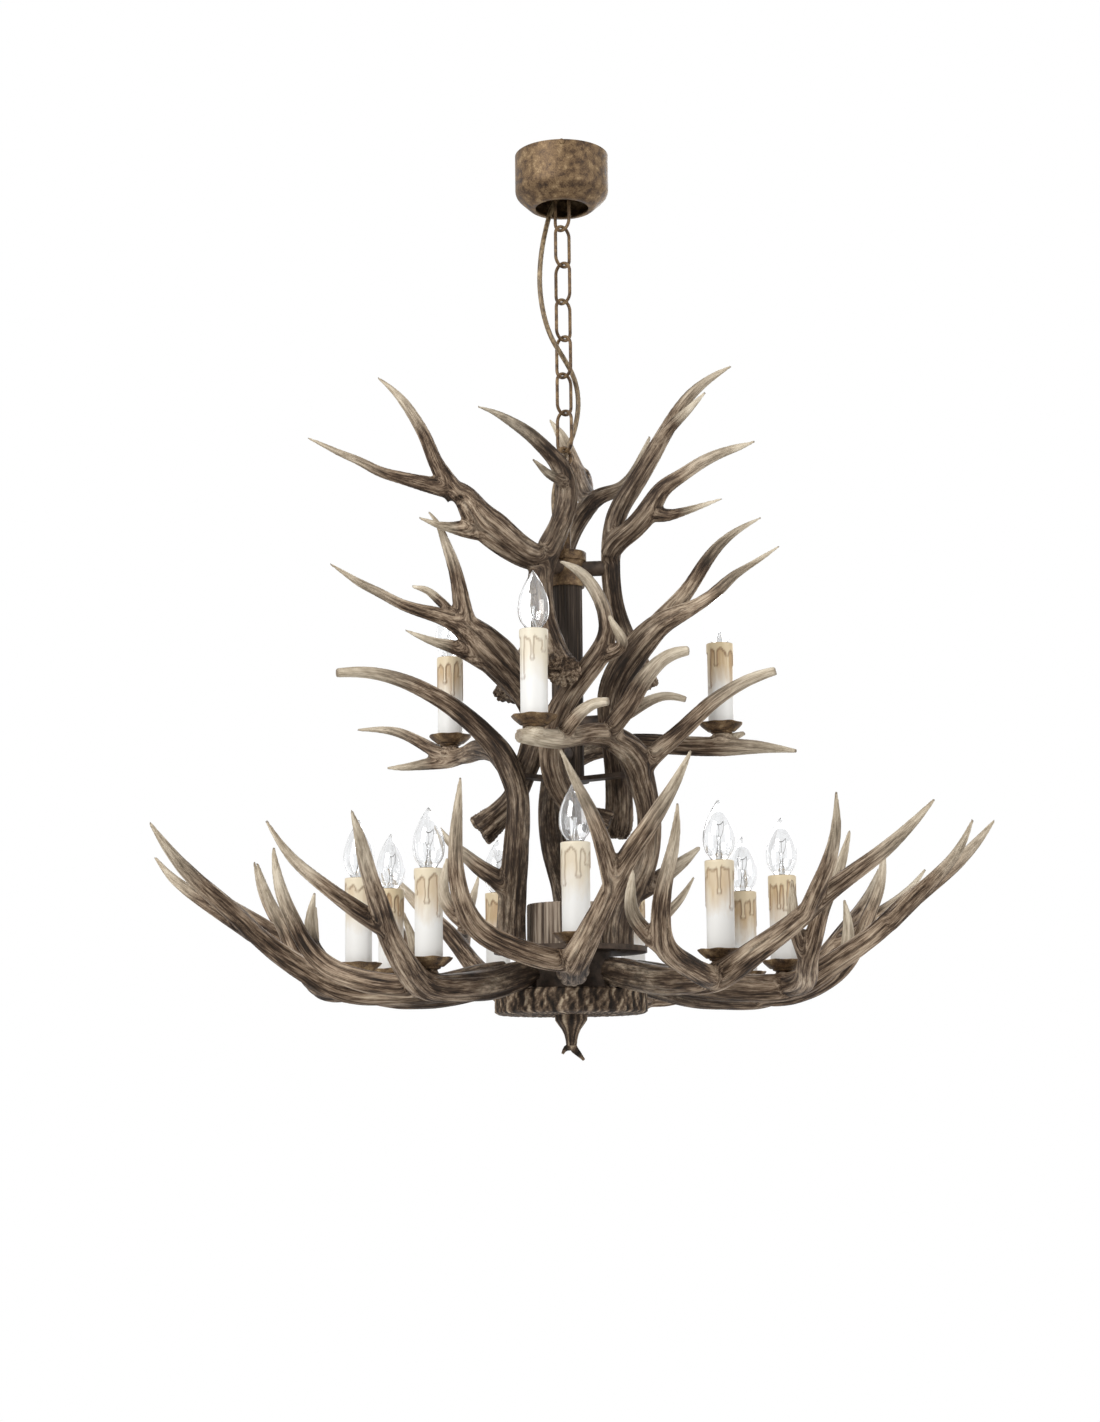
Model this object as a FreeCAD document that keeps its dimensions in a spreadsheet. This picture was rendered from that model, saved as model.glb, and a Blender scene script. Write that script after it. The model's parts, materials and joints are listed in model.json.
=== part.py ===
"""Antler chandelier with twelve candle lights, hung from a ceiling plate by a chain.

The origin is the middle of the ceiling face of the ceiling plate. Z points up, so all
of the lamp lies below zero. X points right and Y away, as seen from the front.
"""
import FreeCAD, Part
import math
import os
import re

import Sketcher
from FreeCAD import Placement, Rotation, Vector

os.makedirs("parts", exist_ok=True)
doc = FreeCAD.newDocument("chandelier")

# Sizes in millimetres, unless the name says degrees, count or scale
SIZES = {
    "plate_gap": 0.2, "plate_thick": 6, "plate_hole": 2.6, "plate_hole_offset": 38,
    "canopy_radius": 56, "canopy_height": 66, "canopy_wall": 1.8, "canopy_mouth": 32,
    "canopy_shoulder": 38, "canopy_screw": 1.5, "canopy_screw_depth": 8,
    "canopy_screw_head": 3, "canopy_screw_cap": 1.8,
    "hook_drop": 45, "hook_wire": 2.5, "hook_ring": 9, "hook_shank": 4,
    "link_pitch": 45.8, "link_wire": 2, "link_half_width": 13.5, "link_count": 7,
    "link_clearance": 0.3, "link_turn_degrees": 45,
    "block_length": 24, "block_width": 14, "block_height": 12, "block_offset": 27, "grip_offset": 8,
    "cable_radius": 3, "grip_radius": 5, "grip_length": 9, "bush_radius": 4.6, "bush_rise": 4,
    "bush_offset": 10.6,
    "loop_ring": 10, "loop_wire": 2.5, "collar_radius": 8.5, "collar_height": 9,
    "stem_radius": 5.8, "stem_length": 107,
    "cap_radius": 21.6, "cap_rim_radius": 23.8, "cap_rim_height": 11, "cap_height": 42,
    "cap_wall": 3,
    "column_radius": 18.5, "column_show": 226, "column_bore": 14.2, "flute_radius": 1.4,
    "flute_count": 22,
    "foot_thick": 5, "foot_ring": 24, "foot_width": 18, "foot_bore": 7,
    "hub_drop": 267,
    "drum_radius": 50, "drum_height": 50, "drum_wall": 8, "drum_bore": 7,
    "hub_plate_radius": 88, "hub_plate_thick": 6,
    "core_radius": 46, "core_height": 42, "core_wall": 5,
    "disc_radius": 88, "disc_height": 28, "disc_chamfer": 3,
    "bolt_radius": 5, "nut_radius": 10, "nut_height": 8,
    "finial_radius": 19, "finial_waist": 6, "finial_height": 32, "prong_length": 20,
    "prong_radius": 5.4, "prong_tip": 1.2, "prong_spread": 11,
    "arm_screw_radius": 2.5, "arm_screw_ring": 66, "arm_screw_rise": 46, "arm_screw_degrees": -4,
    "arm_screw_head": 4.5, "arm_screw_head_height": 3,
    "boss_radius": 9,
    "lamp_radius": 486, "front_arm_degrees": 1.1,
    "seat_radius": 8, "seat_length": 18,
    "dish_radius": 25.8, "dish_flat": 16.2, "dish_rise": 8.5, "dish_wall": 1.4,
    "sleeve_radius": 15.6, "sleeve_wall": 2, "sleeve_length": 104,
    "holder_radius": 12.5, "holder_length": 34, "holder_bore": 7.4, "holder_floor": 6,
    "holder_stem": 5, "holder_below": 2, "stem_bore": 2,
    "base_radius": 6.9, "base_length": 26, "glass_neck": 9,
    "glass_radius": 17.5, "glass_belly": 24, "glass_height": 66, "glass_tip": 2.4,
    "running_clearance": 0.3,
    "picture_scale": 1.15, "view_distance": 2875, "view_left": 20.7, "view_low": 113.9,
    "view_pitch_degrees": 9.2, "view_roll_degrees": 0.6,
}
sheet = doc.addObject("Spreadsheet::Sheet", "Sizes")
for row, (alias, number) in enumerate(SIZES.items(), start=1):
    sheet.set("A%d" % row, alias)
    sheet.set("B%d" % row, str(number))
    sheet.setAlias("B%d" % row, alias)
doc.recompute()

# Levels, from the ceiling down, as expressions in the sheet's names
LOOP_LEVEL = "0 - hook_drop - link_count * link_pitch"
STEM_TOP = LOOP_LEVEL + " + loop_wire + link_clearance / 2 - 2 * loop_ring"
CAP_TOP = STEM_TOP + " - stem_length"
CAP_BASE = CAP_TOP + " - cap_height"
COLUMN_BASE = CAP_BASE + " - column_show"
FOOT_BASE = COLUMN_BASE + " - foot_thick"
HUB_BASE = FOOT_BASE + " - hub_drop"
CORE_BASE = HUB_BASE + " + disc_height"
HUB_PLATE_BASE = CORE_BASE + " + core_height"
DRUM_BASE = HUB_PLATE_BASE + " + hub_plate_thick"

UP = Vector(0, 0, 1)
NODES = {}


def size(expression):
    """The number that an expression in the sheet's names comes to."""
    answer = sheet.evalExpression(expression)
    return float(getattr(answer, "Value", answer))


def bind(thing, target, expression):
    """Ties a property of a document object to an expression in the sheet's names."""
    def full(word):
        return "Sizes." + word.group() if word.group() in SIZES else word.group()
    thing.setExpression(target, re.sub(r"[a-z]+(_[a-z]+)*", full, expression))


def keep(thing, label):
    """Names a finished sub-part, which is exported under that name."""
    thing.Label = label
    NODES[label] = thing
    return thing


def body_plane(body, role):
    """One of a body's own origin planes."""
    return [f for f in body.Origin.OriginFeatures if f.Role == role][0]


def pin_point(sketch, index, corner, expressions):
    """Fixes the start of a sketch line to a pair of expressions."""
    names = (("DistanceX", expressions[0], -2, corner.x), ("DistanceY", expressions[1], -1, corner.y))
    for kind, text, axis, number in names:
        if number == 0:
            sketch.addConstraint(Sketcher.Constraint("PointOnObject", index, 1, axis))
        else:
            pin = sketch.addConstraint(Sketcher.Constraint(kind, -1, 1, index, 1, number))
            bind(sketch, "Constraints[%d]" % pin, text)


def turned(label, level, outline):
    """A body turned about Z from an outline of (radius, height) expression pairs."""
    body = doc.addObject("PartDesign::Body", label)
    sketch = body.newObject("Sketcher::SketchObject", label + "_outline")
    sketch.AttachmentSupport = (body_plane(body, "XZ_Plane"), "")
    sketch.MapMode = "FlatFace"
    corners = [Vector(size(radius), size(height), 0) for radius, height in outline]
    after = corners[1:] + corners[:1]
    for corner, following in zip(corners, after):
        sketch.addGeometry(Part.LineSegment(corner, following), False)
    for i in range(len(corners)):
        sketch.addConstraint(Sketcher.Constraint("Coincident", i, 2, (i + 1) % len(corners), 1))
    for i, corner in enumerate(corners):
        pin_point(sketch, i, corner, outline[i])
    spin = body.newObject("PartDesign::Revolution", label + "_turn")
    spin.Profile = sketch
    spin.ReferenceAxis = (sketch, ["V_Axis"])
    spin.Angle = 360
    bind(body, "Placement.Base.z", level)
    doc.recompute()
    return keep(body, label)


def drilled(body, radius, across, height, count=1, upwards=True):
    """Round holes through a body from its local XY plane, spread evenly about Z."""
    sketch = body.newObject("Sketcher::SketchObject", body.Name + "_hole")
    sketch.AttachmentSupport = (body_plane(body, "XY_Plane"), "")
    sketch.MapMode = "FlatFace"
    centre = Vector(size(across), 0, 0)
    sketch.addGeometry(Part.Circle(centre, UP, size(radius)), False)
    sketch.addConstraint(Sketcher.Constraint("PointOnObject", 0, 3, -1))
    pin = sketch.addConstraint(Sketcher.Constraint("DistanceX", -1, 1, 0, 3, centre.x))
    bind(sketch, "Constraints[%d]" % pin, across)
    pin = sketch.addConstraint(Sketcher.Constraint("Radius", 0, size(radius)))
    bind(sketch, "Constraints[%d]" % pin, radius)
    before = body.Shape.Volume
    pocket = body.newObject("PartDesign::Pocket", body.Name + "_pocket")
    pocket.Profile = sketch
    pocket.Reversed = upwards
    bind(pocket, "Length", height)
    body.Tip = pocket
    doc.recompute()
    if count > 1:
        pattern = body.newObject("PartDesign::PolarPattern", body.Name + "_holes")
        pattern.Originals = [pocket]
        pattern.Axis = (sketch, ["N_Axis"])
        pattern.Angle = 360
        pattern.Occurrences = count
        body.Tip = pattern
        doc.recompute()
    if body.Shape.Volume >= before:
        raise ValueError(body.Label + ": the holes cut nothing")
    return body


def primitive(kind, name, **expressions):
    """A Part primitive whose properties are tied to expressions."""
    thing = doc.addObject("Part::" + kind, name)
    for target, expression in expressions.items():
        bind(thing, target, expression)
    return thing


def placed(thing, x="0", y="0", z="0"):
    """Ties a thing's place to three expressions."""
    for axis, expression in zip("xyz", (x, y, z)):
        if expression != "0":
            bind(thing, "Placement.Base." + axis, expression)
    return thing


def joined(label, kind, shapes):
    """A boolean of document objects, Part::MultiFuse or Part::Cut."""
    thing = doc.addObject("Part::" + kind, label)
    if kind == "Cut":
        thing.Base, thing.Tool = shapes
    else:
        thing.Shapes = shapes
    doc.recompute()
    return keep(thing, label)


def solid_node(label, shape):
    """A sub-part whose shape is worked out by Part's own functions."""
    thing = doc.addObject("Part::Feature", label)
    thing.Shape = shape
    return keep(thing, label)


def copies(label, shape, places):
    """A group of like solids, one at each place."""
    moved = []
    for place in places:
        copy = shape.copy()
        copy.Placement = place.multiply(copy.Placement)
        moved.append(copy)
    return solid_node(label, Part.makeCompound(moved))


# Picture points
# A point read in the 1100 by 1422 picture, with its depth behind the lamp's axis in the
# same units, becomes a place in space through the camera that the picture was taken with.
PICTURE_MIDDLE = (550, 711)


def spot(across, down, depth):
    """The place in space of a picture point at a depth behind the lamp's axis."""
    scale = size("picture_scale")
    distance = size("view_distance")
    pitch = math.radians(size("view_pitch_degrees"))
    roll = math.radians(size("view_roll_degrees"))
    right = (across - PICTURE_MIDDLE[0]) * scale / distance
    rise = (PICTURE_MIDDLE[1] - down) * scale / distance
    level_right = right * math.cos(roll) + rise * math.sin(roll)
    level_rise = rise * math.cos(roll) - right * math.sin(roll)
    forward = math.cos(pitch) - level_rise * math.sin(pitch)
    upward = math.sin(pitch) + level_rise * math.cos(pitch)
    reach = (depth * scale + distance) / forward
    eye = Vector(-size("view_left"), -distance, size(HUB_BASE) - size("view_low"))
    return eye + Vector(level_right * reach, forward * reach, upward * reach)


# Antlers
# A branch is a run of stations, each a place and a radius. The surface is a loft through
# circles square to the run, and a branch starts inside the one that it grows from.


def evened(stations):
    """The same run with its stations spread evenly along a smooth curve through them."""
    places = [place for place, radius in stations]
    curve = Part.BSplineCurve()
    curve.interpolate(places)
    marks = [curve.length(curve.FirstParameter, curve.parameter(place)) for place in places]
    spans = len(stations) + 1
    even = []
    for i in range(spans + 1):
        reach = marks[-1] * i / spans
        after = next((k for k in range(1, len(marks)) if marks[k] >= reach), len(marks) - 1)
        share = (reach - marks[after - 1]) / (marks[after] - marks[after - 1])
        radius = stations[after - 1][1] * (1 - share) + stations[after][1] * share
        even.append((curve.value(curve.parameterAtDistance(reach)), radius))
    return even


def limb(stations):
    """One branch as a closed loft through circles at its stations."""
    stations = evened(stations)
    places = [place for place, radius in stations]
    side = None
    rings = []
    for i, (place, radius) in enumerate(stations):
        before = places[max(i - 1, 0)]
        after = places[min(i + 1, len(places) - 1)]
        along = (after - before).normalize()
        if side is None:
            side = along.cross(Vector(1, 0, 0) if abs(along.x) < abs(along.y) else Vector(0, 1, 0))
        side = (side - along * side.dot(along)).normalize()
        ring = Part.Circle(place, along, radius)
        ring.XAxis = side
        rings.append(Part.Wire([ring.toShape()]))
    return Part.makeLoft(rings, True, False)


def antler(branches):
    """All the branches of one antler as one solid, the beam first."""
    limbs = [limb(stations) for stations in branches]
    return limbs[0].fuse(limbs[1:]) if len(limbs) > 1 else limbs[0]


def picture_branches(rows):
    """Branches from rows of (across, down, depth, radius) in picture units."""
    scale = size("picture_scale")
    return [[(spot(a, d, z), r * scale) for a, d, z, r in row] for row in rows]


TOP_LEFT = [
    [(564, 672, -126, 17.5), (562, 667, -118, 16), (557, 656, -105, 13), (549, 635, -86, 12.5),
     (543, 612, -66, 12.5), (540, 590, -51, 12.5), (541, 573, -44, 12), (549, 549, -40, 12.5),
     (558, 530, -33, 12), (565, 508, -27, 12), (566, 485, -25, 12), (560, 466, -27, 9.5),
     (550, 453.5, -30, 8), (540, 443.5, -32, 7.5), (530, 434.5, -34, 7), (518, 426, -37, 6),
     (505, 418, -40, 4.7), (491, 411, -43, 2.7), (477, 406.5, -46, 1.2)],
    [(546, 562, -41, 12), (531, 556, -46, 14), (516, 547.5, -53, 15), (492, 529, -62, 18),
     (475.5, 513, -70, 16), (461.5, 494, -77, 11.5), (446, 488.5, -82, 9.5), (430, 485, -87, 8.6),
     (415, 481.5, -92, 7.4), (400, 477.5, -96, 6.4), (380, 471.5, -102, 5.4), (360, 461.5, -107, 4.5),
     (340, 453, -112, 3.6), (322, 444.5, -116, 2.4), (307, 437.5, -120, 1.2)],
    [(457, 496, -79, 12), (445, 478, -84, 9.5), (435, 461, -88, 7.6), (426.5, 440, -93, 6.9),
     (416, 420, -97, 5.9), (404, 402.5, -100, 4.9), (391, 388.5, -102, 3.1), (377, 377, -104, 1.2)],
    [(490, 528, -64, 14), (474, 529, -68, 11), (460, 528.5, -73, 8), (449, 527, -76, 5.4),
     (439, 525, -78, 4), (429, 521.5, -80, 2.6), (418.5, 517.5, -82, 1.2)],
    [(568, 488, -28, 7), (559, 479.5, -38, 6), (549, 474, -44, 4.8), (540, 466, -48, 3.2),
     (532.5, 459, -52, 1.2)],
]
TOP_RIGHT = [
    [(649, 688, 30, 11.5), (646, 682, 28, 11.5), (638, 664, 24, 11.5), (625, 636, 16, 10.5),
     (615, 605, 5, 10), (611, 575, -4, 10), (611.5, 544, -10, 10.5), (618.5, 512, -8, 10),
     (636, 481.5, -5, 10), (653.5, 453.5, 0, 9.6), (667.5, 429, 4, 8), (681, 406.5, 8, 6.5),
     (694, 391.5, 12, 5.8), (706, 381.5, 15, 4.7), (718, 373.5, 18, 3.4), (731.5, 366, 20, 1.2)],
    [(609, 556, -12, 10), (616, 544, -18, 11), (632, 530, -28, 11), (648, 511.5, -38, 11),
     (662, 489.5, -46, 8.8), (680, 476.5, -54, 7.5), (700, 463.5, -62, 6.7), (720, 453.5, -71, 5.3),
     (739, 447, -80, 3.8), (755, 441.5, -88, 1.2)],
    [(650, 512, -38, 9), (664, 515, -42, 6.8), (680, 512.5, -46, 4.8), (701, 506, -51, 3.2),
     (722.5, 498.5, -56, 1.2)],
    [(655, 448, 0, 7), (665, 434, -3, 6.8), (676, 421.5, -8, 5.8), (686, 412, -13, 4.6),
     (696, 402, -17, 3.2), (705.5, 392, -20, 1.2)],
]
TOP_BACK = [
    [(505, 698, 48, 14), (508, 691, 50, 12.8), (519, 672, 56, 11.5), (536, 640, 63, 11.5),
     (551, 605, 63, 11.5), (560, 575, 56, 11), (565, 548, 50, 10.5), (574, 526, 50, 10.5),
     (586, 509, 51, 10.5), (601, 496, 53, 9), (617, 490, 54, 7.6), (634, 474, 56, 6.4),
     (643, 455, 57, 4.5), (650, 436, 58, 1.5)],
    [(590, 506, 51, 10.5), (585, 494, 78, 10), (579.5, 479, 110, 9.2), (573, 463, 140, 8.6),
     (567, 448, 160, 7.4), (560, 434, 176, 5.5), (549.7, 420, 190, 1.5)],
    [(582, 474, 125, 8), (586, 486, 165, 8), (585, 506, 205, 6), (579, 534, 262, 1.5)],
    [(586, 489, 95, 8), (590, 500, 112, 6.5), (588, 514, 130, 1.5)],
]
MID_LEFT = [
    [(480, 831, -12, 16), (484, 828, -12, 15.4), (498, 816, -11, 13), (513, 799, -10, 12.4),
     (525, 770, -10, 13), (534, 744, -12, 13), (536, 716, -19, 14), (527, 693, -28, 16),
     (513, 675, -33, 18), (497, 657, -38, 20), (481, 641, -43, 18.5), (466, 628, -47, 14),
     (452, 620.5, -51, 9.5), (437, 615, -55, 7.6), (420, 610.5, -60, 6.4), (400, 603.5, -66, 5.5),
     (380, 593, -72, 5.2), (360, 583, -79, 4.3), (345, 573.5, -84, 2.8), (329.5, 563.5, -90, 1.2)],
    [(470, 632, -46, 12), (464, 615, -50, 10), (461, 599, -52, 8.4), (457.5, 580, -55, 7),
     (452, 560, -58, 6.3), (445, 541, -61, 5), (438.5, 525, -65, 3.2), (428, 511, -68, 1.2)],
    [(452, 616, -48, 6), (444, 605, -45, 5), (437, 598.5, -42, 4.8), (429, 591.5, -40, 4.2),
     (420, 588, -38, 3.2), (411.5, 586.5, -36, 1.4)],
    [(487, 660, -40, 12), (466, 651, -47, 9), (450, 646, -52, 6.6), (435, 642, -58, 4.6),
     (420, 636.5, -63, 3.2), (405, 630, -68, 1.2)],
]
MID_RIGHT = [
    [(617, 838, 8, 9), (617, 834, 8, 13.5), (618, 825, 7, 15), (619.5, 803, 2, 13.5),
     (617.5, 774, -6, 12.5), (613, 742, -12, 12.5), (610, 708, -19, 13), (615, 685, -25, 14.5),
     (627, 662, -29, 15.5), (645, 639, -34, 14.5), (661, 624, -38, 12), (679, 614, -42, 9.5),
     (696, 605.5, -45, 7), (710, 596.5, -47, 6.2), (722, 586.5, -49, 6.2), (733, 576.5, -51, 5),
     (748, 566.5, -53, 3.5), (763, 557, -55, 2.8), (779.5, 546, -57, 1.2)],
    [(645, 640, -33, 11), (662, 619, -27, 10), (678, 602, -22, 9), (690.5, 586, -18, 7.6),
     (703, 566.5, -14, 7), (715, 550, -11, 5.9), (729, 536.5, -8, 4.5), (744, 526.5, -5, 3.1),
     (761.5, 517.5, -3, 1.2)],
]
MID_FRONT = [
    [(608, 826, -44, 16), (602, 823, -44, 14.5), (587, 816, -46, 12), (569, 801, -52, 11.5),
     (556, 778, -62, 12), (551, 750, -76, 12.5), (553, 730, -84, 12.5), (561, 709, -90, 12),
     (571, 692, -93, 11.5), (582, 677, -95, 11), (593, 663, -98, 11), (603, 648, -100, 10.5),
     (607, 632, -100, 8.5), (605, 615, -99, 7.5), (600, 600, -97, 7.2), (590, 583, -95, 6.6),
     (577, 570, -91, 5), (559.5, 561, -87, 1.4)],
    [(603, 655, -100, 8), (613, 652, -106, 7), (622.5, 644, -111, 5.6), (617.5, 631, -114, 4.7),
     (608.5, 614.5, -116, 1.8)],
]
PILLAR_LEFT = [
    [(511, 960, -26, 15.5), (511, 945, -26, 15.5), (511, 920, -27, 14.5), (513, 890, -35, 13.5),
     (516, 855, -44, 12.5), (518, 820, -48, 12), (517, 792, -47, 12), (512, 775, -45, 12.5),
     (503, 756, -43, 12), (492, 742, -43, 11), (477, 727, -45, 10), (457, 710, -49, 9.5),
     (431, 693.5, -54, 8.5), (403, 681, -60, 7.4), (381, 674.5, -65, 6.4), (357, 672, -70, 5.5),
     (336, 673, -75, 4.6)],
    [(508, 768, -43, 11), (500, 756, -24, 11), (490, 750, 5, 11), (474, 751, 55, 10.5),
     (454, 756, 104, 8), (441, 753, 121, 7.4), (428, 747, 138, 7),
     (400, 733, 162, 5.8), (357.5, 730, 190, 1.6)],
    [(462, 756, 88, 8), (446, 762, 118, 7.2), (427, 764, 136, 6.5), (407, 767, 150, 4.5),
     (387.5, 768, 165, 1.8)],
    [(511, 893, -34, 10), (497, 879, -40, 9.5), (482, 869, -42, 8), (465, 855, -40, 6.5),
     (449, 841, -36, 4.5), (437.6, 825, -32, 1.5)],
]
PILLAR_RIGHT = [
    [(619, 960, -38, 15.5), (619, 945, -38, 15.5), (621, 918, -37, 15), (632, 890, -35, 13),
     (644, 864, -37, 12.5), (649, 835, -41, 12), (647, 803, -47, 12), (641, 778, -54, 14),
     (634, 757, -62, 15.5), (620, 743, -76, 13), (597, 734, -98, 11), (577, 736, -115, 10),
     (558, 739, -132, 10), (537, 737, -152, 9), (518, 735.5, -168, 6.2)],
    [(640, 768, -57, 13), (653, 755, -57, 10.5), (671, 740, -57, 9), (692, 721, -58, 8),
     (709, 705, -60, 7.5), (727, 692, -62, 7), (753, 678, -65, 6.2), (776, 670.5, -68, 4.5)],
    [(606, 739, -90, 10), (616, 722, -92, 10), (628, 706, -92, 9.5), (637, 690, -90, 9),
     (648, 674, -88, 8.4), (661, 661, -86, 7.4), (675, 653.5, -84, 6.5), (689, 650.5, -82, 4.8)],
    [(560, 738, -130, 8), (572, 721, -138, 7.5), (583, 710, -142, 6.5), (596, 703, -145, 5.5),
     (609.4, 701.6, -148, 4)],
    [(634, 893, -34, 10.5), (650, 885, -26, 9.5), (668, 873, -18, 8), (685, 860, -10, 6),
     (700, 847, -4, 2)],
]
PILLAR_BACK = [
    [(572, 960, 62, 15.5), (572, 945, 62, 15.5), (571, 920, 64, 15), (564, 885, 71, 14.5),
     (555, 848, 74, 14.5), (552, 815, 72, 14), (553, 790, 70, 13.5), (560, 768, 68, 14),
     (577, 755, 72, 13), (600, 748, 76, 11.5), (630, 744, 74, 10.5), (660, 744, 66, 10),
     (690, 746, 58, 10), (722, 747, 49, 10), (755, 747, 38, 7.5), (797, 751, 25, 2)],
    [(722, 745, 49, 7), (734, 737, 52, 5), (745, 733, 54, 2)],
    [(573, 757, 72, 11), (587, 742, 92, 10), (608, 724, 112, 9), (634, 709, 126, 7), (650, 700.5, 132, 5.8),
     (666, 696, 137, 4.8), (686, 699.5, 144, 3.6)],
]

# The nine arms share one mould. A station is its distance out and its height as shares of
# the lamp's radius, its turn in degrees, and its radius as a share.
ARM_SHARES = [
    [(0.095, -4, 0.097, 0.0285), (0.150, -4, 0.096, 0.0315), (0.205, -3.8, 0.086, 0.035),
     (0.300, -3.4, 0.068, 0.0345), (0.410, -3, 0.060, 0.0335), (0.530, -3, 0.065, 0.031),
     (0.620, -1.2, 0.105, 0.027), (0.710, 0.5, 0.162, 0.0238), (0.780, 2, 0.222, 0.0222),
     (0.846, 3.8, 0.273, 0.0195), (0.910, 5.6, 0.324, 0.017), (0.960, 7.2, 0.374, 0.011),
     (1.0, 8.5, 0.421, 0.0035)],
    [(0.745, 1.0, 0.185, 0.020), (0.805, -0.8, 0.238, 0.0195), (0.875, -3, 0.296, 0.016),
     (0.930, -5, 0.348, 0.011), (0.972, -6.5, 0.407, 0.0035)],
    [(0.500, -3, 0.063, 0.025), (0.560, -10, 0.066, 0.026), (0.608, -17, 0.086, 0.0245),
     (0.650, -22.8, 0.123, 0.0235), (0.681, -24.6, 0.166, 0.021), (0.709, -25.2, 0.225, 0.0185),
     (0.740, -24.5, 0.288, 0.015), (0.759, -23.6, 0.345, 0.010), (0.771, -22.8, 0.397, 0.0035)],
    [(0.632, -21, 0.105, 0.018), (0.648, -26, 0.147, 0.0175), (0.652, -28.5, 0.189, 0.0155),
     (0.650, -28.6, 0.236, 0.011), (0.643, -28, 0.281, 0.0035)],
]
# Each arm's own turn and tilt in degrees, from the back left round to the back right, and
# the turn that its tines bend by beyond the candle
ARM_TURNS = [0, 2.1, 0.4, 4.0, 2.6, 0, 0, 0, 0]
ARM_TILTS = [0.8, 0, -0.5, -1.4, 3.5, 0, -0.8, -1.6, 0]
TINE_TURNS = [0, 0, 0, 0, 0, -2.3, -4.6, -2.9, 4.5]
TINE_SHARES = (0.5, 0.62)
# How far the branches of single arms leave the mould, by arm and branch: the turn in
# degrees and the rise as a share of the lamp's radius at the tip, then both halfway up
LEAN_SHARES = {
    (1, 0): (0, -0.04, 0, 0), (1, 1): (0, 0.015, 0, 0), (1, 3): (6, 0.005, 0, 0),
    (2, 0): (0, 0.013, 0, 0), (2, 1): (0, -0.025, 0, 0), (2, 2): (0, -0.01, 0, 0),
    (3, 0): (0.3, -0.018, 2, 0), (3, 1): (1, -0.005, 0, -0.02), (3, 2): (0, -0.02, 0, 0),
    (4, 0): (1.8, 0.008, 1.2, 0), (4, 1): (1.5, 0.03, 0.6, 0), (4, 2): (1.7, 0.03, 0.6, 0),
    (5, 0): (3.4, 0.002, 1.2, 0), (5, 1): (1.8, 0.012, 0.6, 0), (5, 2): (0.7, 0.01, 1.6, 0),
    (5, 3): (0.8, 0, 0, 0), (6, 0): (3, 0.038, 0, 0.008), (6, 1): (-4, 0.012, 0, 0),
    (6, 2): (-2, -0.012, 0, 0), (7, 1): (1.5, -0.008, 0, 0), (7, 2): (5, 0.03, 0, 0),
}
STRAIGHT = (0, 0, 0, 0)
# How far out and how high a candle stands, as shares of the lamp's radius
CANDLE_SHARES = (0.502, 0.105)
ARM_COUNT = len(ARM_TURNS)
STEP = 360 / ARM_COUNT


def polar(out, turn, height):
    """A place from a distance out, degrees to the right of the front, and a height."""
    angle = math.radians(turn)
    return Vector(out * math.sin(angle), -out * math.cos(angle), height)


def candle_turn(index):
    """The turn from the front to the candle of arm number index, in degrees."""
    return size("front_arm_degrees") + STEP * (index - ARM_COUNT // 2)


def arm_turn(index):
    """The turn from the front to arm number index, in degrees."""
    return candle_turn(index) + ARM_TURNS[index]


def arm_place(index):
    """The placement of arm number index: tilted at the hub, then turned to its place."""
    tilt = Rotation(Vector(1, 0, 0), -ARM_TILTS[index])
    return Placement(Vector(0, 0, size(HUB_BASE)), Rotation(UP, arm_turn(index)).multiply(tilt))


def lower_candle(index):
    """The foot of the candle above arm number index."""
    out, up = [share * size("lamp_radius") for share in CANDLE_SHARES]
    lift = out * math.tan(math.radians(ARM_TILTS[index]))
    return polar(out, candle_turn(index), size(HUB_BASE) + up + lift)


# The feet of the three upper candles: front, right, left
UPPER_FOOT_POINTS = [(534.4, 724.4, -155), (721.4, 731.4, 49), (450.4, 743.6, 108)]

LOWER_FEET = [lower_candle(i) for i in range(ARM_COUNT)]
UPPER_FEET = [spot(*point) for point in UPPER_FOOT_POINTS]
FEET = LOWER_FEET + UPPER_FEET
FOOT_PLACES = [Placement(foot, Rotation()) for foot in FEET]

# Ceiling parts
PLATE_RADIUS = "canopy_radius - canopy_wall - plate_gap"
plate = turned("plate_blank", "0 - plate_thick",
               [("0", "0"), (PLATE_RADIUS, "0"), (PLATE_RADIUS, "plate_thick"),
                ("0", "plate_thick")])
drilled(plate, "plate_hole", "plate_hole_offset", "plate_thick", 2)

canopy = turned("canopy_blank", "0 - canopy_height",
                [("canopy_mouth", "0"), ("canopy_shoulder", "0"),
                 ("canopy_radius", "canopy_shoulder / 2"), ("canopy_radius", "canopy_height"),
                 ("canopy_radius - canopy_wall", "canopy_height"),
                 ("canopy_radius - canopy_wall", "canopy_shoulder / 2 + canopy_wall / 2"),
                 ("canopy_shoulder - canopy_wall / 2", "canopy_wall"),
                 ("canopy_mouth", "canopy_wall")])

shank = placed(primitive("Cylinder", "hook_shank", Radius="hook_shank",
                         Height="hook_drop - plate_thick - 2 * hook_ring + hook_wire"),
               z="2 * hook_ring - hook_drop - hook_wire")
eye = placed(primitive("Torus", "hook_eye", Radius1="hook_ring", Radius2="hook_wire"),
             z="hook_ring - hook_drop - hook_wire - link_clearance / 2")
eye.Placement.Rotation = Rotation(UP, size("link_turn_degrees")).multiply(Rotation(Vector(1, 0, 0), 90))
joined("ceiling_hook", "MultiFuse", [shank, eye])

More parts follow.
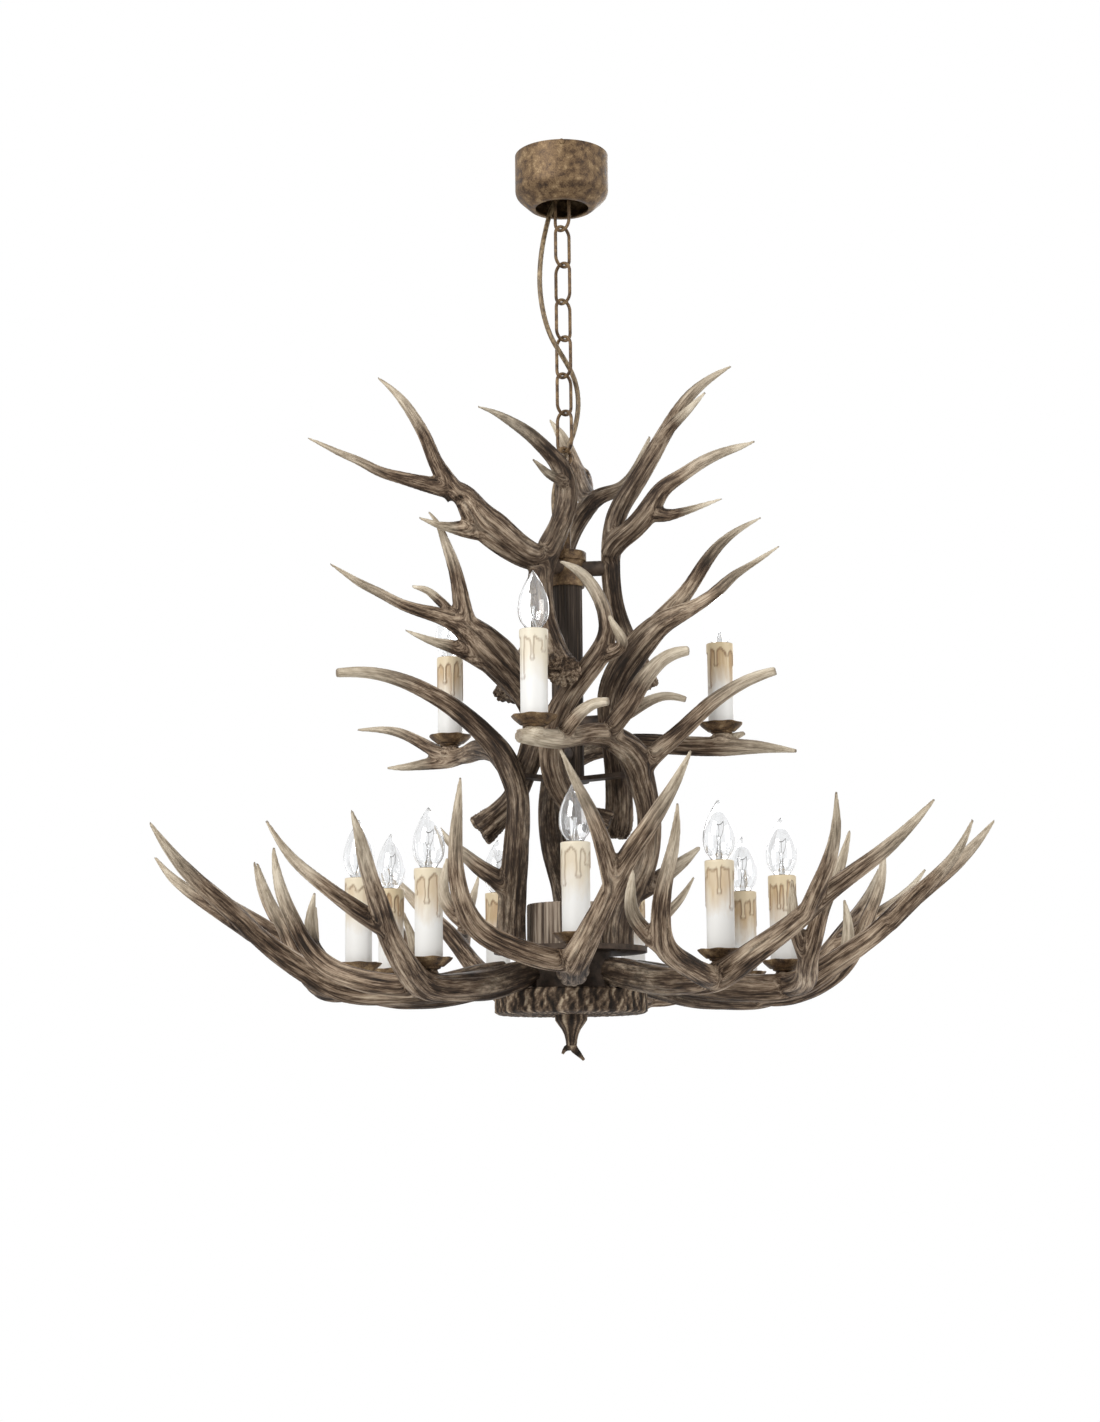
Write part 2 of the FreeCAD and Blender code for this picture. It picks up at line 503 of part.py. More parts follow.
block = placed(primitive("Box", "block", Length="block_length", Width="block_width",
                         Height="block_height"),
               x="0 - block_length / 2", y="block_offset - block_width / 2",
               z="0 - plate_thick - block_height")
keep(block, "terminal_block")
grip = placed(primitive("Cylinder", "grip", Radius="grip_radius", Height="grip_length"),
              x="0 - grip_offset", y="block_offset",
              z="0 - plate_thick - block_height - grip_length")
keep(grip, "cord_grip")

outward = Vector(1, 0, 0)
tack = Part.makeCylinder(size("canopy_screw"), size("canopy_screw_depth + canopy_wall"),
                         outward * size("canopy_radius - canopy_wall - canopy_screw_depth"),
                         outward)
tack_head = Part.makeCylinder(size("canopy_screw_head"), size("canopy_screw_cap"),
                              outward * size("canopy_radius"), outward)
tack = tack.fuse(tack_head)
tack_level = Vector(0, 0, -size("plate_thick") / 2)
TACK_TURNS = (90, 270)
tacks = copies("canopy_screws", tack,
               [Placement(tack_level, Rotation(UP, turn)) for turn in TACK_TURNS])
joined("ceiling_plate", "Cut", [plate, tacks])
joined("canopy", "Cut", [canopy, tacks])
for name in ("plate_blank", "canopy_blank"):
    NODES.pop(name)

# Chain and cable


def chain_link():
    """A stadium link of round wire, its middle at the origin, flat in the XZ plane."""
    wire = size("link_wire")
    bend = size("link_half_width - link_wire")
    half = size("link_pitch / 2 + link_wire + link_clearance / 2") - bend
    ring = Part.Face(Part.Wire([Part.Circle(Vector(bend, 0, half), UP, wire).toShape()]))
    top = ring.revolve(Vector(0, 0, half), Vector(0, -1, 0), 180)
    foot = ring.mirror(Vector(0, 0, 0), UP).revolve(Vector(0, 0, -half), Vector(0, 1, 0), 180)
    sides = [Part.makeCylinder(wire, 2 * half, Vector(side * bend, 0, -half)) for side in (-1, 1)]
    return top.fuse([foot] + sides)


def link_place(index):
    """The placement of link number index, counted down from the hook."""
    level = -size("hook_drop") - size("link_pitch") * (index - 1 / 2)
    turn = size("link_turn_degrees") * (-1) ** index
    return Placement(Vector(0, 0, level), Rotation(UP, turn))


link = chain_link()
copies("chain_link_1", link, [link_place(1)])
copies("chain", link, [link_place(i) for i in range(2, int(size("link_count")) + 1)])

CABLE_ROUTE = [(-8, 27, -27), (-8, 27, -39), (-10.5, 22.5, -53), (-15.5, 15, -69),
               (-20, 5, -91), (-24, -6, -114), (-27, -13, -140),
               (-28, -17, -170), (-24, -18, -203), (-15, -15, -232), (-1, 1, -250),
               (13, 14, -272), (18, 17, -300), (14, 12, -332), (5, 17, -357),
               (-7, 14, -388), (-14, 9, -415), (-13.5, 2.5, -442), (-10.6, 0, -464),
               (-10.6, 0, -485.95)]
ARC_SHARE = 0.45


def cord(route, radius):
    """A tube along straight runs joined by tangent arcs; prints radii and volume."""
    points = [Vector(*place) for place in route]
    edges = []
    start = points[0]
    bends = []
    for before, corner, after in zip(points, points[1:], points[2:]):
        into = (corner - before).normalize()
        out = (after - corner).normalize()
        turn = into.getAngle(out)
        reach = ARC_SHARE * min(corner.distanceToPoint(before), corner.distanceToPoint(after))
        bend = reach / math.tan(turn / 2)
        bends.append(round(bend, 1))
        inward = (out - into).normalize()
        middle = corner + inward * (bend / math.cos(turn / 2) - bend)
        first = corner - into * reach
        last = corner + out * reach
        edges.append(Part.LineSegment(start, first).toShape())
        edges.append(Part.Arc(first, middle, last).toShape())
        start = last
    edges.append(Part.LineSegment(start, points[-1]).toShape())
    path = Part.Wire(edges)
    begin = (points[1] - points[0]).normalize()
    ring = Part.Wire([Part.Circle(points[0], begin, radius).toShape()])
    tube = path.makePipeShell([ring], True, False)
    print("cable length", round(path.Length, 1), "radii", bends)
    print("cable volume share", round(tube.Volume / (math.pi * radius ** 2 * path.Length), 4))
    return tube


solid_node("power_cable", cord(CABLE_ROUTE, size("cable_radius")))

# Hanging loop, stem and cap
ring = placed(primitive("Torus", "loop_eye", Radius1="loop_ring", Radius2="loop_wire"),
              z=STEM_TOP + " + loop_ring")
ring.Placement.Rotation = (Rotation(UP, size("link_turn_degrees"))
                           .multiply(Rotation(Vector(1, 0, 0), 90)))
collar = placed(primitive("Cylinder", "loop_collar", Radius="collar_radius",
                          Height="collar_height"), z=STEM_TOP + " - collar_height")
joined("top_loop", "MultiFuse", [ring, collar])
stem = placed(primitive("Cylinder", "stem_tube", Radius="stem_radius",
                        Height="stem_length - collar_height + cap_wall"),
              z=CAP_TOP + " - cap_wall")
keep(stem, "stem")

turned("cap", CAP_BASE,
       [("column_radius", "0"), ("cap_radius", "0"),
        ("cap_radius", "cap_height - cap_rim_height"),
        ("cap_rim_radius", "cap_height - cap_rim_height"), ("cap_rim_radius", "cap_height"),
        ("stem_radius", "cap_height"), ("stem_radius", "cap_height - cap_wall"),
        ("column_radius", "cap_height - cap_wall")])
drilled(NODES["cap"], "cable_radius", "0 - bush_offset", "cap_height")
flange = placed(primitive("Cylinder", "bush_flange", Radius="bush_radius", Height="bush_rise"),
                x="0 - bush_offset", z=CAP_TOP)
spigot = placed(primitive("Cylinder", "bush_spigot", Radius="cable_radius", Height="cap_wall"),
                x="0 - bush_offset", z=CAP_TOP + " - cap_wall")
joined("cable_bush", "MultiFuse", [flange, spigot])

column = turned("column", COLUMN_BASE,
                [("column_bore", "0"), ("column_radius", "0"),
                 ("column_radius", "column_show + cap_height - cap_wall"),
                 ("column_bore", "column_show + cap_height - cap_wall")])
drilled(column, "flute_radius", "column_radius", "column_show", int(size("flute_count")))

# Hub
disc = turned("disc_blank", HUB_BASE,
              [("bolt_radius", "0"), ("disc_radius - disc_chamfer", "0"),
               ("disc_radius", "disc_chamfer"), ("disc_radius", "disc_height"),
               ("bolt_radius", "disc_height")])
turned("hub_core", CORE_BASE,
       [("core_radius - core_wall", "0"), ("core_radius", "0"), ("core_radius", "core_height"),
        ("core_radius - core_wall", "core_height")])
turned("hub_plate", HUB_PLATE_BASE,
       [("bolt_radius", "0"), ("hub_plate_radius", "0"),
        ("hub_plate_radius", "hub_plate_thick"), ("bolt_radius", "hub_plate_thick")])
turned("hub_drum", DRUM_BASE,
       [("drum_radius - drum_wall", "0"), ("drum_radius", "0"), ("drum_radius", "drum_height"),
        ("drum_bore", "drum_height"), ("drum_bore", "drum_height - drum_wall"),
        ("drum_radius - drum_wall", "drum_height - drum_wall")])
BOLT_LENGTH = "disc_height + core_height + hub_plate_thick + 2 * nut_height"
keep(placed(primitive("Cylinder", "bolt", Radius="bolt_radius", Height=BOLT_LENGTH),
            z=HUB_BASE + " - nut_height"), "centre_bolt")
nut = placed(primitive("Prism", "nut_block", Polygon="6", Circumradius="nut_radius",
                       Height="nut_height"), z=DRUM_BASE)
nut_bore = placed(primitive("Cylinder", "nut_bore", Radius="bolt_radius", Height="nut_height"),
                  z=DRUM_BASE)
joined("centre_nut", "Cut", [nut, nut_bore])

finial = turned("finial_knob", HUB_BASE + " - finial_height",
                [("0", "0"), ("finial_waist", "0"), ("finial_radius / 2", "finial_height / 2"),
                 ("finial_radius", "finial_height - nut_height"),
                 ("finial_radius", "finial_height"), ("bolt_radius", "finial_height"),
                 ("bolt_radius", "finial_height - nut_height"),
                 ("0", "finial_height - nut_height")])
NODES.pop("finial_knob")
PRONG_SHARES = [(0, 0.25, 1), (0.1, -0.1, 0.95), (0.45, -0.55, 0.65), (1, -1, 0)]
prongs = []
for side in (-1, 1):
    stations = []
    for out, up, girth in PRONG_SHARES:
        place = Vector(side * out * size("prong_spread"), 0,
                       size(HUB_BASE) - size("finial_height") + up * size("prong_length"))
        stations.append((place, size("prong_tip") + girth * size("prong_radius - prong_tip")))
    prongs.append(limb(stations))
solid_node("finial", finial.Shape.fuse(prongs))

# Arms, cut to their seats on the hub
hub_level = Vector(0, 0, size(HUB_BASE))
arm_screw = Part.makeCylinder(size("arm_screw_radius"), size("arm_screw_rise"))
arm_screw = arm_screw.fuse(Part.makeCylinder(size("arm_screw_head"),
                                             size("arm_screw_head_height")))
screw_places = []
for i in range(ARM_COUNT):
    screw_turn = arm_turn(i) + size("arm_screw_degrees")
    screw_place = polar(size("arm_screw_ring"), screw_turn, size(HUB_BASE))
    screw_places.append(Placement(screw_place, Rotation()))
screws = copies("arm_screws", arm_screw, screw_places)
disc_shape = disc.Shape.cut(screws.Shape)
NODES.pop("disc_blank")
solid_node("hub_disc", disc_shape)

stud = Part.makeCylinder(size("seat_radius"), size("seat_length"),
                         Vector(0, 0, -size("seat_length")))
studs = copies("candle_seats", stud, FOOT_PLACES)
stud_solids = studs.Shape.Solids


def arm_branches(index):
    """The branches of arm number index, with its own turns beyond the candle."""
    reach = size("lamp_radius")
    near, far = TINE_SHARES
    branches = []
    for number, row in enumerate(ARM_SHARES):
        lean, rise, bow, lift = LEAN_SHARES.get((index, number), STRAIGHT)
        heights = [up for out, turn, up, girth in row]
        low, top = min(heights), max(heights)
        branch = []
        for out, turn, up, girth in row:
            share = min(max((out - near) / (far - near), 0), 1)
            way = (up - low) / (top - low) if out > near else 0
            hump = 4 * way * (1 - way)
            turn += share * TINE_TURNS[index] + way * lean + hump * bow
            up += way * rise + hump * lift
            branch.append((polar(out * reach, turn, up * reach), girth * reach))
        branches.append(branch)
    return branches


core_round = Part.makeCylinder(size("core_radius"), size("core_height"),
                               Vector(0, 0, size(CORE_BASE)))
clamp = [core_round, disc_shape, NODES["hub_plate"].Shape]
for i in range(ARM_COUNT):
    arm = antler(arm_branches(i))
    arm.Placement = arm_place(i)
    arm = arm.cut(clamp + [screws.Shape.Solids[i], stud_solids[i]])
    solid_node("arm_%d" % (i + 1), arm)

# Candles
dish_flat = size("dish_flat")
turned_dish = turned("dish_pattern", "0",
                     [("holder_stem", "0"), ("dish_flat", "0"), ("dish_radius", "dish_rise"),
                      ("dish_radius", "dish_rise + dish_wall"), ("dish_flat", "dish_wall"),
                      ("holder_stem", "dish_wall")])
sleeve = turned("sleeve_pattern", "0",
                [("sleeve_radius - sleeve_wall", "0"), ("sleeve_radius", "0"),
                 ("sleeve_radius", "sleeve_length"),
                 ("sleeve_radius - sleeve_wall", "sleeve_length")])
HOLDER_TOP = "sleeve_length - holder_below"
holder = turned("holder_pattern", "0",
                [("stem_bore", "0 - dish_wall"), ("holder_stem", "0 - dish_wall"),
                 ("holder_stem", HOLDER_TOP + " - holder_length"),
                 ("holder_radius", HOLDER_TOP + " - holder_length"),
                 ("holder_radius", HOLDER_TOP), ("holder_bore", HOLDER_TOP),
                 ("holder_bore", HOLDER_TOP + " - holder_length + holder_floor"),
                 ("stem_bore", HOLDER_TOP + " - holder_length + holder_floor")])
BULB_FOOT = HOLDER_TOP + " - holder_length + holder_floor + running_clearance"
bulb = turned("bulb_pattern", "0",
              [("0", BULB_FOOT), ("base_radius", BULB_FOOT),
               ("base_radius", "sleeve_length"), ("glass_neck", "sleeve_length + holder_below"),
               ("glass_radius - glass_tip", "sleeve_length + glass_belly / 2"),
               ("glass_radius", "sleeve_length + glass_belly"),
               ("glass_radius * 4 / 5", "sleeve_length + glass_height * 2 / 3"),
               ("glass_radius * 2 / 5", "sleeve_length + glass_height * 9 / 10"),
               ("glass_tip", "sleeve_length + glass_height"),
               ("0", "sleeve_length + glass_height")])
for name in ("dish_pattern", "sleeve_pattern", "holder_pattern", "bulb_pattern"):
    NODES.pop(name)
above = Placement(Vector(0, 0, size("dish_wall")), Rotation())
sleeve_places = [place.multiply(above) for place in FOOT_PLACES]
copies("drip_dishes", turned_dish.Shape, FOOT_PLACES)
copies("candle_sleeves", sleeve.Shape, sleeve_places)
copies("lampholders", holder.Shape, sleeve_places)
for i, place in enumerate(sleeve_places):
    copies("bulb_%02d" % (i + 1), bulb.Shape, [place])

# Upper antlers on their bosses, the column's foot and the hub plate


def boss(point, level, carrier_radius):
    """A level round spacer from the lamp's axis out to an antler at a picture point."""
    middle = Vector(0, 0, level)
    place = spot(*point)
    reach = Vector(place.x, place.y, 0)
    spacer = Part.makeCylinder(size("boss_radius"), reach.Length, middle, reach)
    carrier = Part.makeCylinder(carrier_radius, 4 * size("boss_radius"),
                                middle - UP * 2 * size("boss_radius"))
    return spacer.cut(carrier)


CAP_BOSS_POINTS = [(541, 577, -43), (608, 577, -6), (561, 577, 56)]
COLUMN_BOSS_POINTS = [(536, 716, -19), (609, 722, -16), (553, 745, -80)]
boss_level = size(CAP_TOP + " - cap_rim_height - boss_radius - running_clearance")
cap_bosses = [boss(point, boss_level, size("cap_radius")) for point in CAP_BOSS_POINTS]
column_bosses = [boss(point, spot(*point).z, size("column_radius"))
                 for point in COLUMN_BOSS_POINTS]

PILLARS = {"left": PILLAR_LEFT, "right": PILLAR_RIGHT, "back": PILLAR_BACK}
FOOT_POINTS = [(512, 781, -46), (642, 781, -53), (555, 780, 69)]
foot_ring = Part.makeCylinder(size("foot_ring"), size("foot_thick"))
bars = []
for point in FOOT_POINTS:
    place = spot(*point)
    reach = Vector(place.x, place.y, 0)
    bar = Part.makeBox(reach.Length, size("foot_width"), size("foot_thick"),
                       Vector(0, -size("foot_width") / 2, 0))
    bar.Placement = Placement(Vector(), Rotation(Vector(1, 0, 0), reach))
    bars.append(bar)
foot = foot_ring.fuse(bars).cut(Part.makeCylinder(size("foot_bore"), size("foot_thick")))
foot.Placement = Placement(Vector(0, 0, size(FOOT_BASE)), Rotation())
solid_node("column_foot", foot)

below_hub = Part.makeCylinder(2 * size("hub_plate_radius"),
                              size(DRUM_BASE) - size(HUB_BASE), hub_level)
for i, (name, rows) in enumerate(PILLARS.items()):
    shape = antler(picture_branches(rows))
    solid_node("pillar_antler_" + name, shape.cut([below_hub, foot] + stud_solids[ARM_COUNT:]))

MIDS = {"left": MID_LEFT, "right": MID_RIGHT, "front": MID_FRONT}
for spacer, (name, rows) in zip(column_bosses, MIDS.items()):
    solid_node("mid_antler_" + name, antler(picture_branches(rows)).cut(spacer))
TOPS = {"left": TOP_LEFT, "right": TOP_RIGHT, "back": TOP_BACK}
for spacer, (name, rows) in zip(cap_bosses, TOPS.items()):
    solid_node("top_antler_" + name, antler(picture_branches(rows)).cut(spacer))
solid_node("cap_bosses", Part.makeCompound(cap_bosses))
solid_node("column_bosses", Part.makeCompound(column_bosses))

# Checks and export
doc.recompute()
for thing in doc.Objects:
    if "Invalid" in thing.State or "Error" in thing.State:
        raise ValueError(thing.Label + " failed")
for label, thing in NODES.items():
    if thing.Shape.isNull() or not thing.Shape.isValid():
        raise ValueError(label + " has a bad shape")
    thing.Shape.exportStep("parts/%s.step" % label)
print(len(NODES), "nodes")
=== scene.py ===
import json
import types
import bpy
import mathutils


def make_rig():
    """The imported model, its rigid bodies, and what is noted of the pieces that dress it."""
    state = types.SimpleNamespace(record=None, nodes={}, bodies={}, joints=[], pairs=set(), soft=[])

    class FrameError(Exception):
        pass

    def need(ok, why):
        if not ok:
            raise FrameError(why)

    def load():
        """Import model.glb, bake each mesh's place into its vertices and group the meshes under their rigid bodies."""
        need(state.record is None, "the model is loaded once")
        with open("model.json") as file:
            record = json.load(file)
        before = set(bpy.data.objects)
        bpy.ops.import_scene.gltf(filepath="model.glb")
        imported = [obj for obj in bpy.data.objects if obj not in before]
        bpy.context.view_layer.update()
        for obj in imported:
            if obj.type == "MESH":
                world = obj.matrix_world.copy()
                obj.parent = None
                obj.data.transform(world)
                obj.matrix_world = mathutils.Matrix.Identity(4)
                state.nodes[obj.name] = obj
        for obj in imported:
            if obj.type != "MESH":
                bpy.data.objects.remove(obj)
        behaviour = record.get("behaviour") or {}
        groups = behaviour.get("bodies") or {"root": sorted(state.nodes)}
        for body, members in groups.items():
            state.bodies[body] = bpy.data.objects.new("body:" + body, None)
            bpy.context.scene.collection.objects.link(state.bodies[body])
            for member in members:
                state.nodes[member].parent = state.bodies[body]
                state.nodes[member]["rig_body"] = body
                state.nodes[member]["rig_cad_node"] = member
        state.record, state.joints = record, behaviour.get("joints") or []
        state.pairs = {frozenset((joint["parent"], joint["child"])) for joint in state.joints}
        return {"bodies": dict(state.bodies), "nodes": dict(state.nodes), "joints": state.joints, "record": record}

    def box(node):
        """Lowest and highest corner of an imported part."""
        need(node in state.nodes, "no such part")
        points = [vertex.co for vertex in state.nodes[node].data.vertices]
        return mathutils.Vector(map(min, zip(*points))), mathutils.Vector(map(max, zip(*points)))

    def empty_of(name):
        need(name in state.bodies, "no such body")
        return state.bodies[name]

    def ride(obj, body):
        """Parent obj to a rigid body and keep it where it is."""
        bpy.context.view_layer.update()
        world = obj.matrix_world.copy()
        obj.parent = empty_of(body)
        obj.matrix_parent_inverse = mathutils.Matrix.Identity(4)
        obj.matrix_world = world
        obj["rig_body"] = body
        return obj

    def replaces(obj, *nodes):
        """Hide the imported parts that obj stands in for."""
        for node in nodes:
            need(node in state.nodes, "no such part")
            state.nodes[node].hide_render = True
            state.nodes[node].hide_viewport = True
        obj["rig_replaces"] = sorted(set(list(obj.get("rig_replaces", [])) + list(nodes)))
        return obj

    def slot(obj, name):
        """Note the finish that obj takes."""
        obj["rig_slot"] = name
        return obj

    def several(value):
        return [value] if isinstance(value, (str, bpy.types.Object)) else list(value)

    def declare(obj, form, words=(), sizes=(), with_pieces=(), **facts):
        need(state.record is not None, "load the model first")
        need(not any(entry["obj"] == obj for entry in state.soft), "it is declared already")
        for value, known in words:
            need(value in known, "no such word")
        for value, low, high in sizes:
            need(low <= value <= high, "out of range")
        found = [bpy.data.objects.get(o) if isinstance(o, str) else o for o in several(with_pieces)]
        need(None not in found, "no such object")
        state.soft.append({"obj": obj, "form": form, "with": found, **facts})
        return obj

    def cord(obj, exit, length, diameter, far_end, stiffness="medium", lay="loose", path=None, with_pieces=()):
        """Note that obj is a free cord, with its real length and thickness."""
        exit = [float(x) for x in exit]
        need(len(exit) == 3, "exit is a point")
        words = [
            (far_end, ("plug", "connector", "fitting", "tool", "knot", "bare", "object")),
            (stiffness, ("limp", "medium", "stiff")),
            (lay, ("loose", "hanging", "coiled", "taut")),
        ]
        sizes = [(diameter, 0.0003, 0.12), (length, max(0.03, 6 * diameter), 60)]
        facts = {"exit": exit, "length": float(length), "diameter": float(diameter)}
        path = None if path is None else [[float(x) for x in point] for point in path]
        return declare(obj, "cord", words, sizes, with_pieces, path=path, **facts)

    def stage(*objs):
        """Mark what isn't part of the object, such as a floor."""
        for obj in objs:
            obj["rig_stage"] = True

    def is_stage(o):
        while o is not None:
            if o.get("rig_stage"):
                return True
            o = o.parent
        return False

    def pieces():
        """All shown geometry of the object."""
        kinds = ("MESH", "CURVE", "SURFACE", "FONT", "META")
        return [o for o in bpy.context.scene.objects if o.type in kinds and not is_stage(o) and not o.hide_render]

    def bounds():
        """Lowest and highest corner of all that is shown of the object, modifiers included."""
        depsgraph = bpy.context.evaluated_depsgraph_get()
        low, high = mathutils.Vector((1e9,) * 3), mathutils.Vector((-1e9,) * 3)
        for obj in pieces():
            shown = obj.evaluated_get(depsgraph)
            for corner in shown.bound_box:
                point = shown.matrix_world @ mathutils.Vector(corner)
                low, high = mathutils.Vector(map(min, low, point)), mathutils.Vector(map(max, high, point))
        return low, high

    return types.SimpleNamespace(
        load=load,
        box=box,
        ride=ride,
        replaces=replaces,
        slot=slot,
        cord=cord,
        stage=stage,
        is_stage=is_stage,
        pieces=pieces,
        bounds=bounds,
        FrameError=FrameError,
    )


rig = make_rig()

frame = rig.load()

import json
import math

import bpy
import numpy as np
from mathutils import Matrix

bl_info = {
    "name": "Antler chandelier",
    "version": (1, 0, 0),
    "blender": (4, 5, 0),
    "location": "View3D > Sidebar > Chandelier",
    "description": "Dresses the construction of an antler chandelier with its surfaces",
    "category": "Mesh",
}

CAD_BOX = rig.bounds()
MM = 0.001
FULL = 2 * math.pi

# Heights that come from the construction
HUB_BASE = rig.box("hub_disc")[0][2]
CAP_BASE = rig.box("cap")[0][2]
CAP_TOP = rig.box("cap")[1][2]
COLUMN_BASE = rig.box("column")[0][2]

# The picture's camera, and the scale of a picture unit at the lamp's axis
PICTURE_MIDDLE = (550, 711)
PICTURE_HEIGHT = 1422
FILM_HEIGHT = 36.0
PICTURE_UNIT = 1.15 * MM
VIEW_DISTANCE = 2.875
VIEW_LEFT = 0.0207
VIEW_LOW = 0.1139
VIEW_PITCH = math.radians(9.2)
VIEW_ROLL = math.radians(0.6)


def spot(rows):
    """Places in space of rows of (across, down, depth) in picture units. A row's ray leaves
    the eye through the picture point and is followed to the depth behind the lamp's axis."""
    across, down, depth = np.asarray(rows, float).T[:3]
    right = (across - PICTURE_MIDDLE[0]) * PICTURE_UNIT / VIEW_DISTANCE
    rise = (PICTURE_MIDDLE[1] - down) * PICTURE_UNIT / VIEW_DISTANCE
    level_right = right * math.cos(VIEW_ROLL) + rise * math.sin(VIEW_ROLL)
    level_rise = rise * math.cos(VIEW_ROLL) - right * math.sin(VIEW_ROLL)
    forward = math.cos(VIEW_PITCH) - level_rise * math.sin(VIEW_PITCH)
    upward = math.sin(VIEW_PITCH) + level_rise * math.cos(VIEW_PITCH)
    reach = (depth * PICTURE_UNIT + VIEW_DISTANCE) / forward
    eye = np.array([-VIEW_LEFT, -VIEW_DISTANCE, HUB_BASE - VIEW_LOW])
    return eye + np.stack([level_right * reach, forward * reach, upward * reach], axis=1)


# Antlers, as rows of (across, down, depth, radius) in picture units, the beam first
TOP_LEFT = [
    [(564, 672, -126, 17.5), (562, 667, -118, 16), (557, 656, -105, 13), (549, 635, -86, 12.5),
     (543, 612, -66, 12.5), (540, 590, -51, 12.5), (541, 573, -44, 12), (549, 549, -40, 12.5),
     (558, 530, -33, 12), (565, 508, -27, 12), (566, 485, -25, 12), (560, 466, -27, 9.5),
     (550, 453.5, -30, 8), (540, 443.5, -32, 7.5), (530, 434.5, -34, 7), (518, 426, -37, 6),
     (505, 418, -40, 4.7), (491, 411, -43, 2.7), (477, 406.5, -46, 1.2)],
    [(546, 562, -41, 12), (531, 556, -46, 14), (516, 547.5, -53, 15), (492, 529, -62, 18),
     (475.5, 513, -70, 16), (461.5, 494, -77, 11.5), (446, 488.5, -82, 9.5), (430, 485, -87, 8.6),
     (415, 481.5, -92, 7.4), (400, 477.5, -96, 6.4), (380, 471.5, -102, 5.4),
     (360, 461.5, -107, 4.5), (340, 453, -112, 3.6), (322, 444.5, -116, 2.4),
     (307, 437.5, -120, 1.2)],
    [(457, 496, -79, 12), (445, 478, -84, 9.5), (435, 461, -88, 7.6), (426.5, 440, -93, 6.9),
     (416, 420, -97, 5.9), (404, 402.5, -100, 4.9), (391, 388.5, -102, 3.1), (377, 377, -104, 1.2)],
    [(490, 528, -64, 14), (474, 529, -68, 11), (460, 528.5, -73, 8), (449, 527, -76, 5.4),
     (439, 525, -78, 4), (429, 521.5, -80, 2.6), (418.5, 517.5, -82, 1.2)],
    [(568, 488, -28, 7), (559, 479.5, -38, 6), (549, 474, -44, 4.8), (540, 466, -48, 3.2),
     (532.5, 459, -52, 1.2)],
]
TOP_RIGHT = [
    [(649, 688, 30, 11.5), (646, 682, 28, 11.5), (638, 664, 24, 11.5), (625, 636, 16, 10.5),
     (615, 605, 5, 10), (611, 575, -4, 10), (611.5, 544, -10, 10.5), (618.5, 512, -8, 10),
     (636, 481.5, -5, 10), (653.5, 453.5, 0, 9.6), (667.5, 429, 4, 8), (681, 406.5, 8, 6.5),
     (694, 391.5, 12, 5.8), (706, 381.5, 15, 4.7), (718, 373.5, 18, 3.4), (731.5, 366, 20, 1.2)],
    [(609, 556, -12, 10), (616, 544, -18, 11), (632, 530, -28, 11), (648, 511.5, -38, 11),
     (662, 489.5, -46, 8.8), (680, 476.5, -54, 7.5), (700, 463.5, -62, 6.7), (720, 453.5, -71, 5.3),
     (739, 447, -80, 3.8), (755, 441.5, -88, 1.2)],
    [(650, 512, -38, 9), (664, 515, -42, 6.8), (680, 512.5, -46, 4.8), (701, 506, -51, 3.2),
     (722.5, 498.5, -56, 1.2)],
    [(655, 448, 0, 7), (665, 434, -3, 6.8), (676, 421.5, -8, 5.8), (686, 412, -13, 4.6),
     (696, 402, -17, 3.2), (705.5, 392, -20, 1.2)],
]
TOP_BACK = [
    [(505, 698, 48, 14), (508, 691, 50, 12.8), (519, 672, 56, 11.5), (536, 640, 63, 11.5),
     (551, 605, 63, 11.5), (560, 575, 56, 11), (565, 548, 50, 10.5), (574, 526, 50, 10.5),
     (586, 509, 51, 10.5), (601, 496, 53, 9), (617, 490, 54, 7.6), (634, 474, 56, 6.4),
     (643, 455, 57, 4.5), (650, 436, 58, 1.5)],
    [(590, 506, 51, 10.5), (585, 494, 78, 10), (579.5, 479, 110, 9.2), (573, 463, 140, 8.6),
     (567, 448, 160, 7.4), (560, 434, 176, 5.5), (549.7, 420, 190, 1.5)],
    [(582, 474, 125, 8), (586, 486, 165, 8), (585, 506, 205, 6), (579, 534, 262, 1.5)],
    [(586, 489, 95, 8), (590, 500, 112, 6.5), (588, 514, 130, 1.5)],
]
MID_LEFT = [
    [(480, 831, -12, 16), (484, 828, -12, 15.4), (498, 816, -11, 13), (513, 799, -10, 12.4),
     (525, 770, -10, 13), (534, 744, -12, 13), (536, 716, -19, 14), (527, 693, -28, 16),
     (513, 675, -33, 18), (497, 657, -38, 20), (481, 641, -43, 18.5), (466, 628, -47, 14),
     (452, 620.5, -51, 9.5), (437, 615, -55, 7.6), (420, 610.5, -60, 6.4), (400, 603.5, -66, 5.5),
     (380, 593, -72, 5.2), (360, 583, -79, 4.3), (345, 573.5, -84, 2.8), (329.5, 563.5, -90, 1.2)],
    [(470, 632, -46, 12), (464, 615, -50, 10), (461, 599, -52, 8.4), (457.5, 580, -55, 7),
     (452, 560, -58, 6.3), (445, 541, -61, 5), (438.5, 525, -65, 3.2), (428, 511, -68, 1.2)],
    [(452, 616, -48, 6), (444, 605, -45, 5), (437, 598.5, -42, 4.8), (429, 591.5, -40, 4.2),
     (420, 588, -38, 3.2), (411.5, 586.5, -36, 1.4)],
    [(487, 660, -40, 12), (466, 651, -47, 9), (450, 646, -52, 6.6), (435, 642, -58, 4.6),
     (420, 636.5, -63, 3.2), (405, 630, -68, 1.2)],
]
